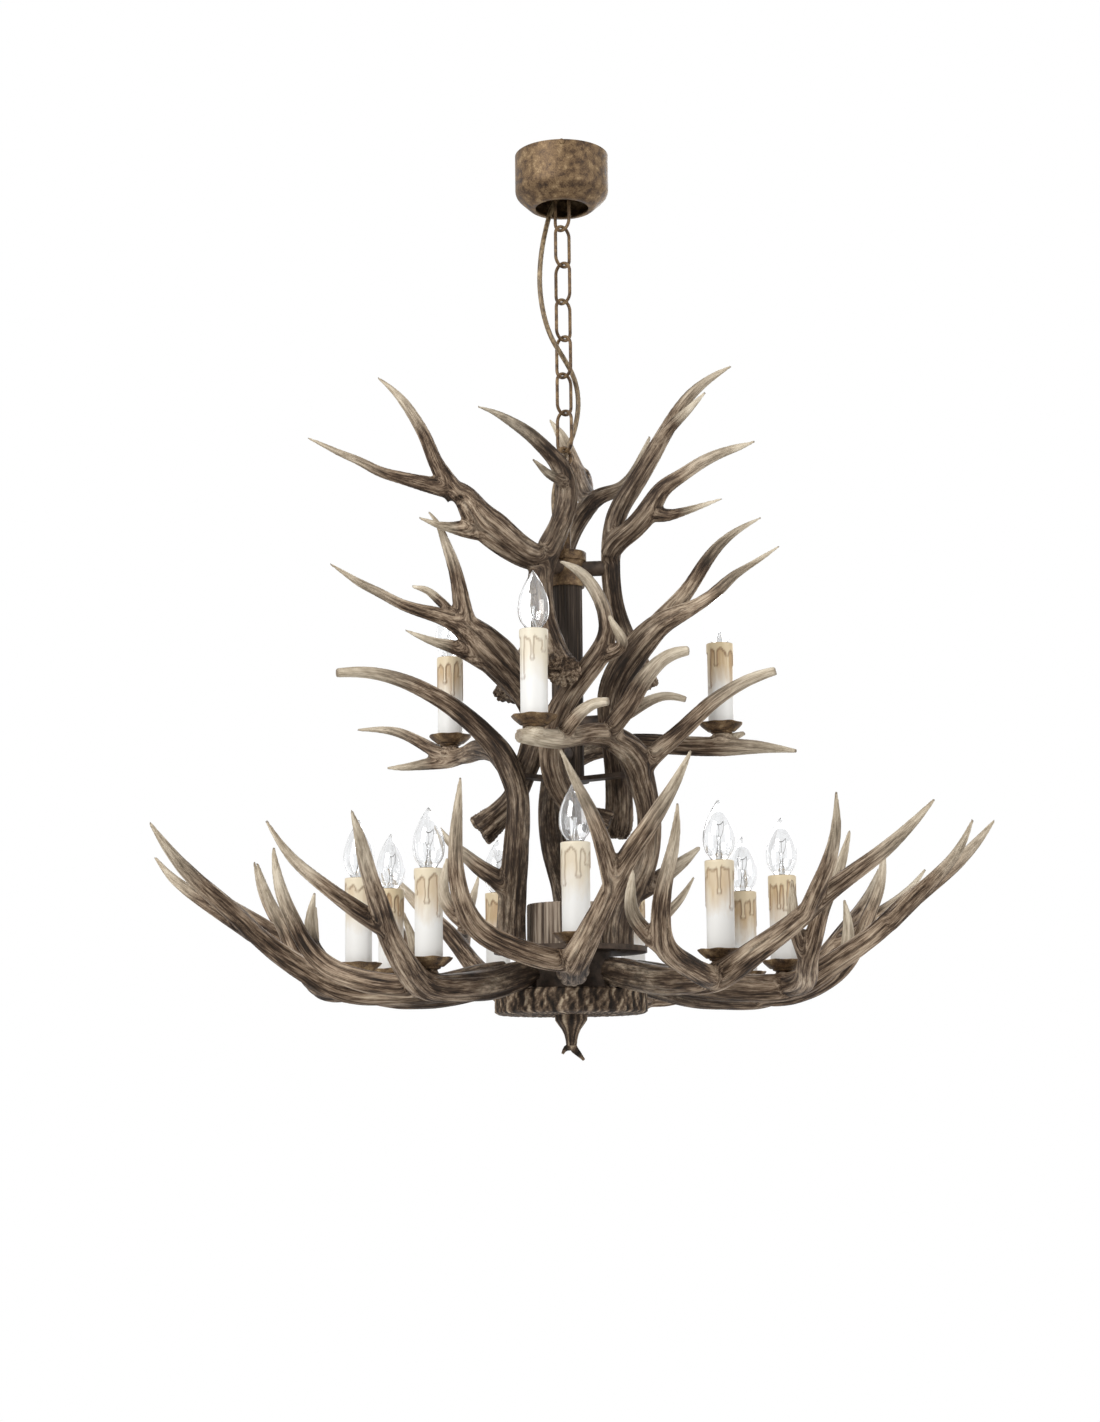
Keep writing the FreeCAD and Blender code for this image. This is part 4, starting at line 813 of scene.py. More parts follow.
@once
def black_finish():
    """Black moulded plastic."""
    return mottled("black_plastic", (300, 300, 300), (3.0, 0.6), [(0.3, (0.012, 0.011, 0.01)),
                   (0.7, (0.03, 0.028, 0.026))], 0.5, (0.2, 0.0004))


@once
def white_finish():
    """White moulded plastic."""
    return mottled("white_plastic", (300, 300, 300), (3.0, 0.6), [(0.3, (0.62, 0.62, 0.6)),
                   (0.7, (0.72, 0.72, 0.7))], 0.4, (0.2, 0.0004))


@once
def cable_finish():
    """Brown cable sheath with a fine mottle."""
    return mottled("cable", (260, 260, 120), (4.0, 0.6), [(0.3, (0.045, 0.028, 0.013)),
                   (0.5, (0.17, 0.115, 0.058)), (0.7, (0.38, 0.28, 0.16))], 0.5, (0.35, 0.0006))


@once
def brass_finish():
    """Plated bulb cap, dulled in places."""
    return mottled("bulb_cap", (240, 240, 240), (4.0, 0.6), [(0.3, (0.38, 0.3, 0.18)),
                   (0.7, (0.62, 0.52, 0.34))], (0.25, 0.45), Metallic=1.0)


@once
def filament_finish():
    """Grey filament and support wires."""
    return mottled("filament", (900, 900, 900), (2.0, 0.5), [(0.3, (0.16, 0.15, 0.14)),
                   (0.7, (0.3, 0.28, 0.26))], 0.4, Metallic=0.6)


@once
def glass_finish():
    """Clear bulb glass, very slightly uneven."""
    recipe = Recipe("bulb_glass")
    normal = recipe.bump(recipe.noise((70, 70, 40), 2.0, 0.5), 0.06, 0.001)
    return recipe.finish(Base_Color=(0.955, 0.96, 0.965, 1), Roughness=0.0, IOR=1.8,
                         Transmission_Weight=1.0, Normal=normal)


FINISHES = {
    "antler_resin": antler_finish, "column_resin": column_finish, "wood_resin": drum_finish,
    "bark_resin": bark_finish, "bronze": bronze_finish, "wax_plastic": wax_finish,
    "black_plastic": black_finish, "bulb_glass": glass_finish,
}


# Antler shapes. Lengths are in metres, and shares are of a branch's radius

RUN_STEP = 5 * MM
VOXEL = 1.9 * MM
RING = 18
SMOOTH_ROUNDS = 4
FORK_FOCUS = 7
TIP_REACH = 0.13
THIN_TO_THICK = (2.5 * MM, 9 * MM)
OVAL_SHARE, KNOT_SHARE, RIDGE_SHARE, VALLEY_SHARE = 0.045, 0.02, 0.03, 0.075
BURR_REACH = (6 * MM, 34 * MM)
PEARL_HEIGHT = 1.5 * MM
GRAIN_SHIFT = 0.37


def curve_through(places, radii):
    """Points and radii every few millimetres along a natural cubic spline through the places.
    The spline's second derivatives solve a small linear system over the chord lengths."""
    places = np.asarray(places, float)
    count = len(places)
    chord = np.linalg.norm(np.diff(places, axis=0), axis=1)
    marks = np.concatenate([[0], np.cumsum(chord)])
    system = np.eye(count)
    target = np.zeros((count, 3))
    for i in range(1, count - 1):
        system[i, i - 1:i + 2] = chord[i - 1], 2 * (chord[i - 1] + chord[i]), chord[i]
        after, before = places[i + 1] - places[i], places[i] - places[i - 1]
        target[i] = 6 * (after / chord[i] - before / chord[i - 1])
    bend = np.linalg.solve(system, target)
    where = np.linspace(0, marks[-1], max(int(marks[-1] / RUN_STEP), 6))
    span = np.clip(np.searchsorted(marks, where, side="right") - 1, 0, count - 2)
    width = chord[span][:, None]
    late = (where - marks[span])[:, None] / width
    early = 1 - late
    line = (early * places[span] + late * places[span + 1]
            + width ** 2 / 6 * ((early ** 3 - early) * bend[span]
                                + (late ** 3 - late) * bend[span + 1]))
    girth = np.interp(where, marks, radii)
    wide = np.concatenate([girth[:1], girth, girth[-1:]])
    return line, (wide[:-2] + 2 * wide[1:-1] + wide[2:]) / 4


def skeleton(branches):
    """The lines of an antler's branches, each with its radii, its square directions, its
    distance along the antler, its share of the way to its own tip and what is left of it. A
    side branch takes its start and its side direction from the nearest station before it."""
    stations = []
    for rows in branches:
        line, girth = curve_through(rows[:, :3], rows[:, 3])
        reach = np.concatenate([[0], np.cumsum(np.linalg.norm(np.diff(line, axis=0), axis=1))])
        side, start = None, 0.0
        if stations:
            pool = {key: np.concatenate([s[key] for s in stations])
                    for key in ("line", "sides", "reach")}
            nearest = np.argmin(np.linalg.norm(pool["line"] - line[0], axis=1))
            side, start = pool["sides"][nearest], pool["reach"][nearest]
        sides, ups = frames(line, side=side)[1:]
        stations.append({"line": line, "girth": girth, "sides": sides, "ups": ups,
                         "reach": start + reach, "share": reach / reach[-1],
                         "left": reach[-1] - reach})
    return stations


def melted(patches):
    """The patches joined into one skin: a voxel remesh takes their union, and each round of
    smoothing moves a point towards the middle of its neighbours, so forks run together."""
    mesh = blank_mesh("union", patches)
    union = bpy.data.objects.new("union", mesh)
    bpy.context.scene.collection.objects.link(union)
    remesh = union.modifiers.new("skin", "REMESH")
    remesh.mode = "VOXEL"
    remesh.voxel_size = VOXEL
    smooth = union.modifiers.new("smooth", "SMOOTH")
    smooth.factor = 0.5
    smooth.iterations = SMOOTH_ROUNDS
    graph = bpy.context.evaluated_depsgraph_get()
    skin = bpy.data.meshes.new_from_object(union.evaluated_get(graph))
    bpy.data.objects.remove(union)
    bpy.data.meshes.remove(mesh)
    return skin


def points_of(mesh, field="co"):
    """The mesh's points, or their normals, as an array."""
    values = np.empty(len(mesh.vertices) * 3, np.float32)
    mesh.vertices.foreach_get(field, values)
    return values.reshape(-1, 3).astype(float)


def nearest_branches(points, stations):
    """For each point, its place in the antler's own terms: the offset from the branch in the
    branch's two square directions, the distance along, the share to the tip, the distance
    left to the tip and the radius. Near a fork the branches are blended, each weighted by
    how near the point is in that branch's radii."""
    keys = ("line", "sides", "ups", "reach", "share", "left", "girth")
    pool = {key: np.concatenate([s[key] for s in stations]) for key in keys}
    gap = np.linalg.norm(points[:, None] - pool["line"][None], axis=2) / pool["girth"][None]
    gap -= gap.min(axis=1, keepdims=True)
    weight = np.exp(-gap * FORK_FOCUS)
    weight /= weight.sum(axis=1, keepdims=True)
    offset = points - weight @ pool["line"]
    side = weight @ pool["sides"]
    up = weight @ pool["ups"]
    side /= np.linalg.norm(side, axis=1, keepdims=True)
    up /= np.linalg.norm(up, axis=1, keepdims=True)
    across = np.sum(offset * side, axis=1)
    over = np.sum(offset * up, axis=1)
    rest = {key: weight @ pool[key] for key in ("reach", "share", "left", "girth")}
    return across, over, rest


def grooves(angle, reach, rng):
    """A ripple round the branch: cosines of several whole orders, whose phases drift slowly
    along it. It runs from about minus one to one."""
    total = np.zeros_like(angle)
    for order in (5, 7, 9, 12, 15):
        drift = rng.uniform(2, 7) * np.sin(reach * rng.uniform(8, 22) + rng.uniform(0, FULL))
        total += rng.uniform(0.6, 1) * np.cos(order * angle + rng.uniform(0, FULL) + drift)
    return total / 2.4


def pearls(angle, reach):
    """Rounded lumps: the product of a wave round the branch and one along it, in two sizes."""
    round_it = np.sin(9 * angle + 3 * np.sin(reach * 400))
    lump = round_it * np.sin(reach * 1150 + 2 * np.cos(4 * angle))
    fine = np.sin(17 * angle + reach * 900) * np.cos(reach * 2100 - 5 * angle)
    return 0.65 * lump + 0.35 * fine


def ease(values, low, high):
    """Zero below low, one above high, and smooth between."""
    share = np.clip((values - low) / (high - low), 0, 1)
    return share * share * (3 - 2 * share)


def antler_mesh(name, branches, seed, extras=(), burr=True, gloom=0.0, near=0.05, far=0.17,
                low=-1.1, high=-1.0):
    """An antler: tubes along its branches, melted together, then moved along the normals by
    an oval, by grooves that fade at the tips and by pearls at the burr. Gloom is the dark
    that fades outwards from near to far and upwards from low to high."""
    rng = np.random.default_rng(seed)
    stations = skeleton(branches)
    mesh = melted([tube(s["line"], s["girth"], RING) for s in stations] + list(extras))
    mesh.name = name
    points, normals = points_of(mesh), points_of(mesh, "normal")
    across, over, rest = nearest_branches(points, stations)
    angle = np.arctan2(over, across)
    reach, girth = rest["reach"], rest["girth"]
    tip = np.clip(1 - rest["left"] / TIP_REACH, 0, 1) * ease(rest["share"], 0.25, 0.6)
    thick = ease(girth, *THIN_TO_THICK)
    ripple = grooves(angle, reach, rng)
    valley = ease(-ripple, 0.15, 0.85)
    oval = np.cos(2 * angle + 5 * np.sin(reach * 9 + rng.uniform(0, FULL))) * OVAL_SHARE
    knots = np.sin(reach * 60 + 2 * np.sin(angle + rng.uniform(0, FULL))) * KNOT_SHARE
    push = girth * (oval + knots) * thick
    push += girth * thick * (RIDGE_SHARE * ripple - VALLEY_SHARE * valley)
    if burr:
        root = 1 - ease(reach, *BURR_REACH)
        lumps = pearls(angle, reach)
        push += root * PEARL_HEIGHT * lumps
        valley = np.maximum(valley * (1 - root), root * ease(-lumps, -0.1, 0.5))
    points = points + normals * push[:, None]
    mesh.vertices.foreach_set("co", points.astype(np.float32).ravel())
    mesh.update()
    # Painted shade: darker towards the lamp's axis and below a height, where the antlers lie in shade.
    inside = 1 - ease(np.hypot(points[:, 0], points[:, 1]), near, far)
    dark = gloom * np.maximum(inside, 1 - ease(points[:, 2], low, high))
    write_mark(mesh, "grain", np.stack([across, over, reach + seed * GRAIN_SHIFT], axis=1))
    write_mark(mesh, "tip", tip)
    write_mark(mesh, "groove", valley * (1 - 0.6 * tip))
    write_mark(mesh, "gloom", dark)
    return mesh


def arm_branches(index):
    """One arm's branches in metres: the mould's, turned past the candle, with each branch's
    lean growing with height, its bow, a parabola in height, and at its root the shift of
    the branch that it grows from."""
    near, far = TINE_SHARES
    branches, shifts = [], []
    for number, rows in enumerate(ARM_SHARES):
        lean, rise, bow, lift = LEAN_SHARES.get((index, number), STRAIGHT)
        out, turn, up, girth = np.array(rows, float).T
        way = np.where(out > near, (up - up.min()) / (up.max() - up.min()), 0)
        hump = 4 * way * (1 - way)
        side, high = way * lean + hump * bow, way * rise + hump * lift
        if number:
            parent = shifts[GROWS_FROM[number]]
            side = side + (1 - way) * np.interp(out[0], parent[0], parent[1])
            high = high + (1 - way) * np.interp(out[0], parent[0], parent[2])
        shifts.append((out, side, high))
        bend = np.clip((out - near) / (far - near), 0, 1) * TINE_TURNS[index]
        angle = np.radians(turn + bend + side)
        up = up + high
        rows = np.stack([out * np.sin(angle), -out * np.cos(angle), up, girth], axis=1)
        branches.append(rows * LAMP_RADIUS)
    return branches


def candle_turn(index):
    """The turn of a lower candle from the front, in degrees."""
    return FRONT_ARM + 360 / ARM_COUNT * (index - ARM_COUNT // 2)


def arm_matrix(index):
    """An arm's turn and tilt about the hub, as rows to multiply a place by."""
    turn = math.radians(candle_turn(index) + ARM_TURNS[index])
    tilt = math.radians(-ARM_TILTS[index])
    spin = np.array([[math.cos(turn), -math.sin(turn), 0],
                     [math.sin(turn), math.cos(turn), 0], [0, 0, 1]])
    lean = np.array([[1, 0, 0], [0, math.cos(tilt), -math.sin(tilt)],
                     [0, math.sin(tilt), math.cos(tilt)]])
    return spin @ lean


def candle_feet():
    """The foot of each candle: nine on the arms, then the three upper ones."""
    out, rise = [share * LAMP_RADIUS for share in CANDLE_SHARES]
    turn = np.radians([candle_turn(i) for i in range(ARM_COUNT)])
    lift = out * np.tan(np.radians(ARM_TILTS))
    lower = np.stack([out * np.sin(turn), -out * np.cos(turn), HUB_BASE + rise + lift], axis=1)
    return np.vstack([lower, spot(UPPER_FOOT_POINTS)])


FEET = candle_feet()
PAD_RADIUS = 10.5 * MM
PAD_DEPTH = 15 * MM
PAD_GAP = 2.2 * MM
PAD_RINGS = 5
PAD_TAPER = (1.25, 0.95)


def pad(foot):
    """The raised pad of resin under a candle, a short tapered tube."""
    levels = np.linspace(-PAD_DEPTH, -PAD_GAP, PAD_RINGS)
    line = foot + levels[:, None] * [0, 0, 1]
    return tube(line, np.linspace(*PAD_TAPER, PAD_RINGS) * PAD_RADIUS, RING)


# Candles and bulbs


def sleeve_patch(foot, rng, stain):
    """A candle sleeve: the height runs from the dish to the rim, over it and a little way
    down inside. The swell is the larger of a scalloped band at the rim and of drips, each a
    bell curve round the candle that ends in a round drop."""
    radius, bore, base, top = SLEEVE_RADIUS, SLEEVE_BORE, DISH_WALL, LEVEL
    lips = [(radius - 0.25 * MM, base), (radius, base + 0.5 * MM)]
    outside = [(radius, z) for z in np.linspace(base + 2 * MM, top - 1 * MM, 52)]
    over = [(radius - 0.4 * MM, top - 0.2 * MM), (radius - 0.9 * MM, top), (bore + 0.3 * MM, top),
            (bore, top - 0.8 * MM), (bore, top - 12 * MM)]
    outline = np.array(lips + outside + over)
    angle = columns(SLEEVE_COLUMNS)
    depth = top - outline[:, 1:2]
    waves = rng.integers(7, 10)
    scallop = 8 * MM + 4.5 * MM * np.abs(np.sin(waves / 2 * angle + rng.uniform(0, FULL)))
    scallop = scallop + 2 * MM * np.sin(2 * angle + rng.uniform(0, FULL))
    height = (1 - ease(depth, scallop - 0.9 * MM, scallop + 0.9 * MM)) * BAND_HEIGHT
    for k in range(waves):
        middle = FULL * (k + rng.uniform(-0.25, 0.25)) / waves
        away = (angle - middle + math.pi) % FULL - math.pi
        length = rng.choice([16, 24, 34, 48]) * MM * rng.uniform(0.8, 1.2)
        wide = rng.uniform(0.13, 0.22)
        drop = np.exp(-((depth - length + 2 * MM) / (2.5 * MM)) ** 2)
        narrow = wide * (1 - 0.35 * ease(depth, 8 * MM, length * 0.7) + 0.4 * drop)
        strand = 1 - ease(np.abs(away), 0.7 * narrow, 1.25 * narrow)
        strand = strand * (1 - ease(depth, length - 1.5 * MM, length + 1 * MM))
        height = np.maximum(height, strand * STRAND_HEIGHT)
    outer = np.zeros((len(outline), 1))
    outer[1:len(outside) + 3] = 1
    height = height * outer
    slope = (np.abs(np.gradient(height, axis=0)) / SLEEVE_ROW
             + np.abs(np.gradient(height, axis=1)) / SLEEVE_COLUMN)
    share = np.repeat((outline[:, 1:2] - base) / SLEEVE_LENGTH, SLEEVE_COLUMNS, axis=1)
    marks = {"rise": share, "drip": np.clip(height / (0.8 * MM), 0, 1),
             "edge": np.clip((slope - 0.12 * MM) / (0.25 * MM), 0, 1),
             "stain": np.full_like(share, stain)}
    return moved(turned(outline, SLEEVE_COLUMNS, swell=height, **marks), foot)


def dish_patch(foot, rng):
    """A drip dish: a closed thin outline turned about the candle, its rim slightly wavy."""
    flat, rim, lift, wall = 16.4 * MM, 25.5 * MM, 8.5 * MM, DISH_WALL
    outline = [(5.2 * MM, 0), (flat, 0), (rim - 2.6 * MM, lift - 3 * MM), (rim, lift),
               (rim + 0.2 * MM, lift + wall / 2), (rim - 0.4 * MM, lift + wall),
               (rim - 3.3 * MM, lift + wall - 3.2 * MM), (flat - 0.5 * MM, wall),
               (5.2 * MM, wall)]
    outline = spaced(outline, 3 * MM)
    angle = columns(56)
    wave = (np.sin(5 * angle + rng.uniform(0, FULL)) * 0.5
            + np.sin(8 * angle + rng.uniform(0, FULL)) * 0.5)
    outer = ease(outline[:, :1], flat, rim)
    surface = turned(outline, 56, closed=True, swell=wave * outer * 0.7 * MM)
    surface["points"][:, 2] += (np.roll(wave, 7, 1) * outer * 0.5 * MM).ravel()
    return moved(surface, foot)


def seat_patch(foot):
    """A candle's seat: a short turned stub with a flange under the dish."""
    outline = mm((8, -18), (8, -4), (10, -3), (13, -2), (13, -0.05))
    return moved(turned(rounded(outline, 1.2 * MM), 40), foot)


def holder_patch(foot):
    """A lampholder: a closed outline with its stem, its cup and the threaded bore."""
    top = LEVEL - 2 * MM
    stem = mm((2, 0), (5, 0))
    cup = mm((5, -34), (12.5, -34), (12.5, -1), (11.8, 0), (7.6, 0), (7.4, -0.5), (7.4, -28),
             (2, -28)) + [0, top]
    return moved(turned(np.vstack([stem, cup]), 40, closed=True), foot)


GLASS_OUTLINE = [(0, 8.0), (2, 8.9), (6, 12.2), (12, 15.7), (18, 17.2), (24, 17.5), (31, 16.9),
                 (38, 15.3), (45, 12.8), (51, 10.0), (56, 7.2), (60, 4.9), (63, 3.2), (65, 1.9),
                 (66, 0.7)]


def glass_patches(foot):
    """The bulb's shell, outside and inside, turned from heights and radii in millimetres
    through a smooth curve, and the glass stem that carries the wires."""
    rows = mm(*[(0, r, z) for z, r in GLASS_OUTLINE])
    line = curve_through(rows, rows[:, 1])[0][:, 1:]
    outer = np.vstack([line, mm((0.05, 66.3))]) + [0, LEVEL]
    inner = outer[:-1] - [GLASS_WALL, 0]
    inner = inner[inner[:, 0] > 0.5 * MM]
    inner[-1, 1] -= GLASS_WALL
    shell = turned(np.vstack([outer, inner[::-1]]), 44, closed=True)
    stem = mm((5.5, 0.3), (4.4, 5), (2.2, 11), (1.7, 24), (2.1, 26), (0.3, 27.5)) + [0, LEVEL]
    return [moved(shell, foot), moved(turned(rounded(stem, 3 * MM), 20), foot)]


def wire_patches(foot):
    """The lead wires from the stem, their hooks and the coiled filament between them."""
    def wire(radius, *places):
        line, girth = curve_through(mm(*places), np.full(len(places), radius * MM))
        return tube(line, girth, 8)
    patches = [wire(0.3, (side * 1.2, 0, 10), (side * 1.5, 0, 24), (side * 4.2, 0, 30),
                    (side * 5.4, 0, 41), (side * 4.9, 0, 43)) for side in (-1, 1)]
    patches.append(wire(0.25, (0, 0, 27), (0.4, 0, 34), (0, 0.6, 38.5)))
    share = np.linspace(0, 1, 240)
    turns = share * 34 * FULL
    sag = 42.5 - 7.5 * np.sin(share * math.pi) ** 0.8 * 0.5
    coil = np.stack([(share * 2 - 1) * 5, 0.45 * np.cos(turns), sag + 0.45 * np.sin(turns)], 1) * MM
    patches.append(tube(coil, 0.16 * MM, 6))
    return [moved(p, foot + [0, 0, LEVEL]) for p in patches]


def cap_patch(foot):
    """The bulb's screw cap: a turned outline with rounded threads, closed by its contact."""
    low = LEVEL - CAP_DEPTH
    thread = np.linspace(low + 5 * MM, LEVEL - 5 * MM, 44)
    ridge = 6.3 * MM + 0.45 * MM * np.cos((thread - low) / (2.8 * MM) * FULL)
    contact = mm((0.2, 0), (2.6, 0), (2.9, 1.2), (5.2, 3.6)) + [0, low]
    collar = mm((6.7, -4), (6.8, 0.2), (8.1, 0.5), (8.1, 1.2), (6, 1.4)) + [0, LEVEL]
    outline = np.vstack([contact, np.stack([ridge, thread], axis=1), collar])
    return moved(turned(outline, 32), foot)


# Metalwork and hub


def upright(line, turn, wire, centre):
    """A closed round tube along an upright line of (across, up), turned about Z."""
    across = np.array([math.cos(turn), math.sin(turn), 0.0])
    side = np.array([math.sin(turn), -math.cos(turn), 0.0])
    path = line[:, :1] * across + line[:, 1:] * [0, 0, 1]
    return moved(tube(path, wire, 16, closed=True, side=side), centre)


def link_patch(centre, turn, wire, half_width, half_height):
    """A chain link: a round tube along a stadium, two straights joined by half circles. Its
    middle line is found from the angle round each half circle."""
    bend = half_width - wire
    straight = half_height - wire - bend
    steps = np.linspace(0, math.pi, 17)
    top = np.stack([bend * np.cos(steps), straight + bend * np.sin(steps)], axis=1)
    side = np.stack([np.full(5, -bend), np.linspace(straight, -straight, 7)[1:-1]], axis=1)
    half = np.vstack([top, side])
    return upright(np.vstack([half, -half]), turn, wire, centre)


def eye_patch(centre, turn, ring, wire):
    """A round eye: a tube along a circle that stands upright."""
    steps = columns(48)[0]
    return upright(ring * np.stack([np.cos(steps), np.sin(steps)], axis=1), turn, wire, centre)


def rippled(angle, height, rng, orders, scale):
    """Waves round a drum that drift a little with height, for grain and bark."""
    total = np.zeros(np.broadcast(angle, height).shape)
    for order in orders:
        share, phase = rng.uniform(0.5, 1), order * angle + rng.uniform(0, FULL)
        climb = height * scale * rng.uniform(0.6, 1.4) + rng.uniform(0, FULL)
        total += share * np.cos(phase + 1.3 * np.sin(climb))
    return total / math.sqrt(len(orders))


# Settings and operators


class ChandelierSettings(bpy.types.PropertyGroup):
    """Sizes and colours that a user would change."""

    wax_colour: bpy.props.FloatVectorProperty(
        name="Wax", description="Colour of the clean wax of the candle sleeves",
        default=(0.8, 0.79, 0.76), subtype="COLOR", min=0, max=1)
    bronze_colour: bpy.props.FloatVectorProperty(
        name="Bronze", description="Colour of the rusty patches on the metalwork",
        default=(0.2, 0.128, 0.065), subtype="COLOR", min=0, max=1)
    backdrop: bpy.props.FloatProperty(
        name="Backdrop", description="Brightness of the background to the eye", default=1.0,
        min=0, max=2)
    fill_light: bpy.props.FloatProperty(
        name="Fill light", description="Strength of the light from all round", default=0.45,
        min=0, max=3)
    key_light: bpy.props.FloatProperty(
        name="Key light", description="Strength of the large lamp at the upper left, in watts",
        default=142.0, min=0, max=1000)
    cable_diameter: bpy.props.FloatProperty(
        name="Cable", description="Diameter of the cable", default=0.006, unit="LENGTH",
        min=0.002, max=0.02)


def aimed(name, data, scene, place, across, upward, back):
    """A camera or a lamp at a place, from its three square directions."""
    item = bpy.data.objects.new(name, data)
    scene.collection.objects.link(item)
    matrix = np.eye(4)
    matrix[:3, :3] = np.stack([across, upward, back], axis=1)
    matrix[:3, 3] = place
    item.matrix_world = Matrix(matrix.tolist())
    return item


class StageOperator(bpy.types.Operator):
    """Camera at the picture's place, soft lights, a pale floor and a white background"""

    bl_idname = "chandelier.stage"
    bl_label = "Stage"

    def execute(self, context):
        scene = context.scene
        settings = scene.chandelier
        lens = bpy.data.cameras.new("camera")
        lens.sensor_fit = "VERTICAL"
        lens.sensor_height = FILM_HEIGHT
        lens.lens = FILM_HEIGHT * VIEW_DISTANCE / PICTURE_UNIT / PICTURE_HEIGHT
        lens.clip_start = 0.05
        ahead = np.array([0, math.cos(VIEW_PITCH), math.sin(VIEW_PITCH)])
        above = np.array([0, -math.sin(VIEW_PITCH), math.cos(VIEW_PITCH)])
        right = np.array([1.0, 0, 0])
        eye = (-VIEW_LEFT, -VIEW_DISTANCE, HUB_BASE - VIEW_LOW)
        scene.camera = aimed("camera", lens, scene, eye,
                             right * math.cos(VIEW_ROLL) - above * math.sin(VIEW_ROLL),
                             right * math.sin(VIEW_ROLL) + above * math.cos(VIEW_ROLL), -ahead)
        for name, place, share in LAMPS:
            self.lamp(scene, name, np.array(place), settings.key_light * share)
        self.floor(scene, settings)
        self.world(scene, settings)
        scene.view_settings.view_transform = "Standard"
        return {"FINISHED"}

    def lamp(self, scene, name, place, power):
        """A large square lamp that faces the middle of the chandelier."""
        light = bpy.data.lights.new(name, "AREA")
        light.size = LAMP_SIZE
        light.energy = power
        away = place - LAMP_TARGET
        away = away / np.linalg.norm(away)
        side = np.cross([0, 0, 1], away)
        side = side / np.linalg.norm(side)
        aimed(name, light, scene, place, side, np.cross(away, side), away)

    def floor(self, scene, settings):
        """A pale floor well below the lamp, white to the eye."""
        steps = np.linspace(-FLOOR_REACH, FLOOR_REACH, 3)
        grid = np.stack(np.meshgrid(steps, steps), axis=-1)
        rows = np.concatenate([grid, np.full((3, 3, 1), HUB_BASE - FLOOR_DROP)], axis=2)
        mesh = blank_mesh("floor", [patch(rows, around=False)])
        recipe = Recipe("pale_floor")
        matt = recipe.add("BsdfDiffuse", Color=(0.86, 0.86, 0.86, 1))
        white = recipe.add("Emission", Color=(1, 1, 1, 1), Strength=settings.backdrop)
        both = recipe.add("MixShader", i0=recipe.seen(), i1=matt.outputs[0], i2=white.outputs[0])
        recipe.add("OutputMaterial", Surface=both.outputs[0])
        mesh.materials.append(recipe.owner)
        ground = bpy.data.objects.new("floor", mesh)
        scene.collection.objects.link(ground)
        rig.stage(ground)

    def world(self, scene, settings):
        """White to the eye, in gloss and through glass, and a plain level of light otherwise."""
        scene.world = bpy.data.worlds.new("studio")
        recipe = Recipe("studio", scene.world)
        level = recipe.spread(recipe.seen(), 0, 1, settings.fill_light, settings.backdrop)
        glow = recipe.add("Background", Color=(1, 1, 1, 1), Strength=level)
        recipe.add("OutputWorld", Surface=glow.outputs[0])


class CableOperator(bpy.types.Operator):
    """The cable that is woven through the chain"""

    bl_idname = "chandelier.cable"
    bl_label = "Cable"

    def execute(self, context):
        settings = context.scene.chandelier
        curve = bpy.data.curves.new("power_cable_sheath", "CURVE")
        curve.dimensions = "3D"
        spline = curve.splines.new("NURBS")
        spline.points.add(len(CABLE_ROUTE) - 1)
        for point, place in zip(spline.points, CABLE_ROUTE):
            point.co = (*(c * MM for c in place), 1)
        spline.order_u = 3
        spline.use_endpoint_u = True
        spline.resolution_u = 8
        curve.bevel_depth = settings.cable_diameter / 2
        curve.bevel_resolution = 4
        curve.use_fill_caps = True
        curve.materials.append(cable_finish())
        cable = bpy.data.objects.new("power_cable_sheath", curve)
        context.scene.collection.objects.link(cable)
        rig.ride(cable, "lamp")
        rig.slot(cable, "cable")
        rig.replaces(cable, "power_cable")
        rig.cord(cable, exit=[c * MM for c in CABLE_ROUTE[0]], length=CABLE_LENGTH,
                diameter=settings.cable_diameter, far_end="object", stiffness="medium",
                lay="hanging")
        return {"FINISHED"}


class CeilingOperator(bpy.types.Operator):
    """Canopy, hook, ceiling plate, terminal block, screws and grip"""

    bl_idname = "chandelier.ceiling"
    bl_label = "Ceiling parts"

    def execute(self, context):
        low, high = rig.box("canopy")
        radius, height, wall = high[0], high[2] - low[2], 1.8 * MM
        outside = rounded([(32 * MM, 0), (38 * MM, 0), (radius, 17 * MM), (radius, height)],
                          6 * MM, 8)
        inside = rounded([(radius - wall, height), (radius - wall, 17.9 * MM), (37.1 * MM, wall),
                          (32 * MM, wall)], 5 * MM, 8)
        canopy = turned(np.vstack([outside, inside]), 96, closed=True)
        dress("canopy_cover", [moved(canopy, (0, 0, low[2]))], "canopy", body="ceiling")
        eye = eye_patch((0, 0, -38.65 * MM), LINK_TURN, 9 * MM, 2.5 * MM)
        shank = turned(rounded(mm((4, -29.5), (4, -8), (7, -6)), 1 * MM), 28)
        dress("ceiling_hook_eye", [eye, shank], "ceiling_hook", body="ceiling")
        coat(["ceiling_plate"], steel_finish())
        coat(["canopy_screws"], bronze_finish())
        coat(["terminal_block"], white_finish())
        coat(["cord_grip"], black_finish())
        return {"FINISHED"}


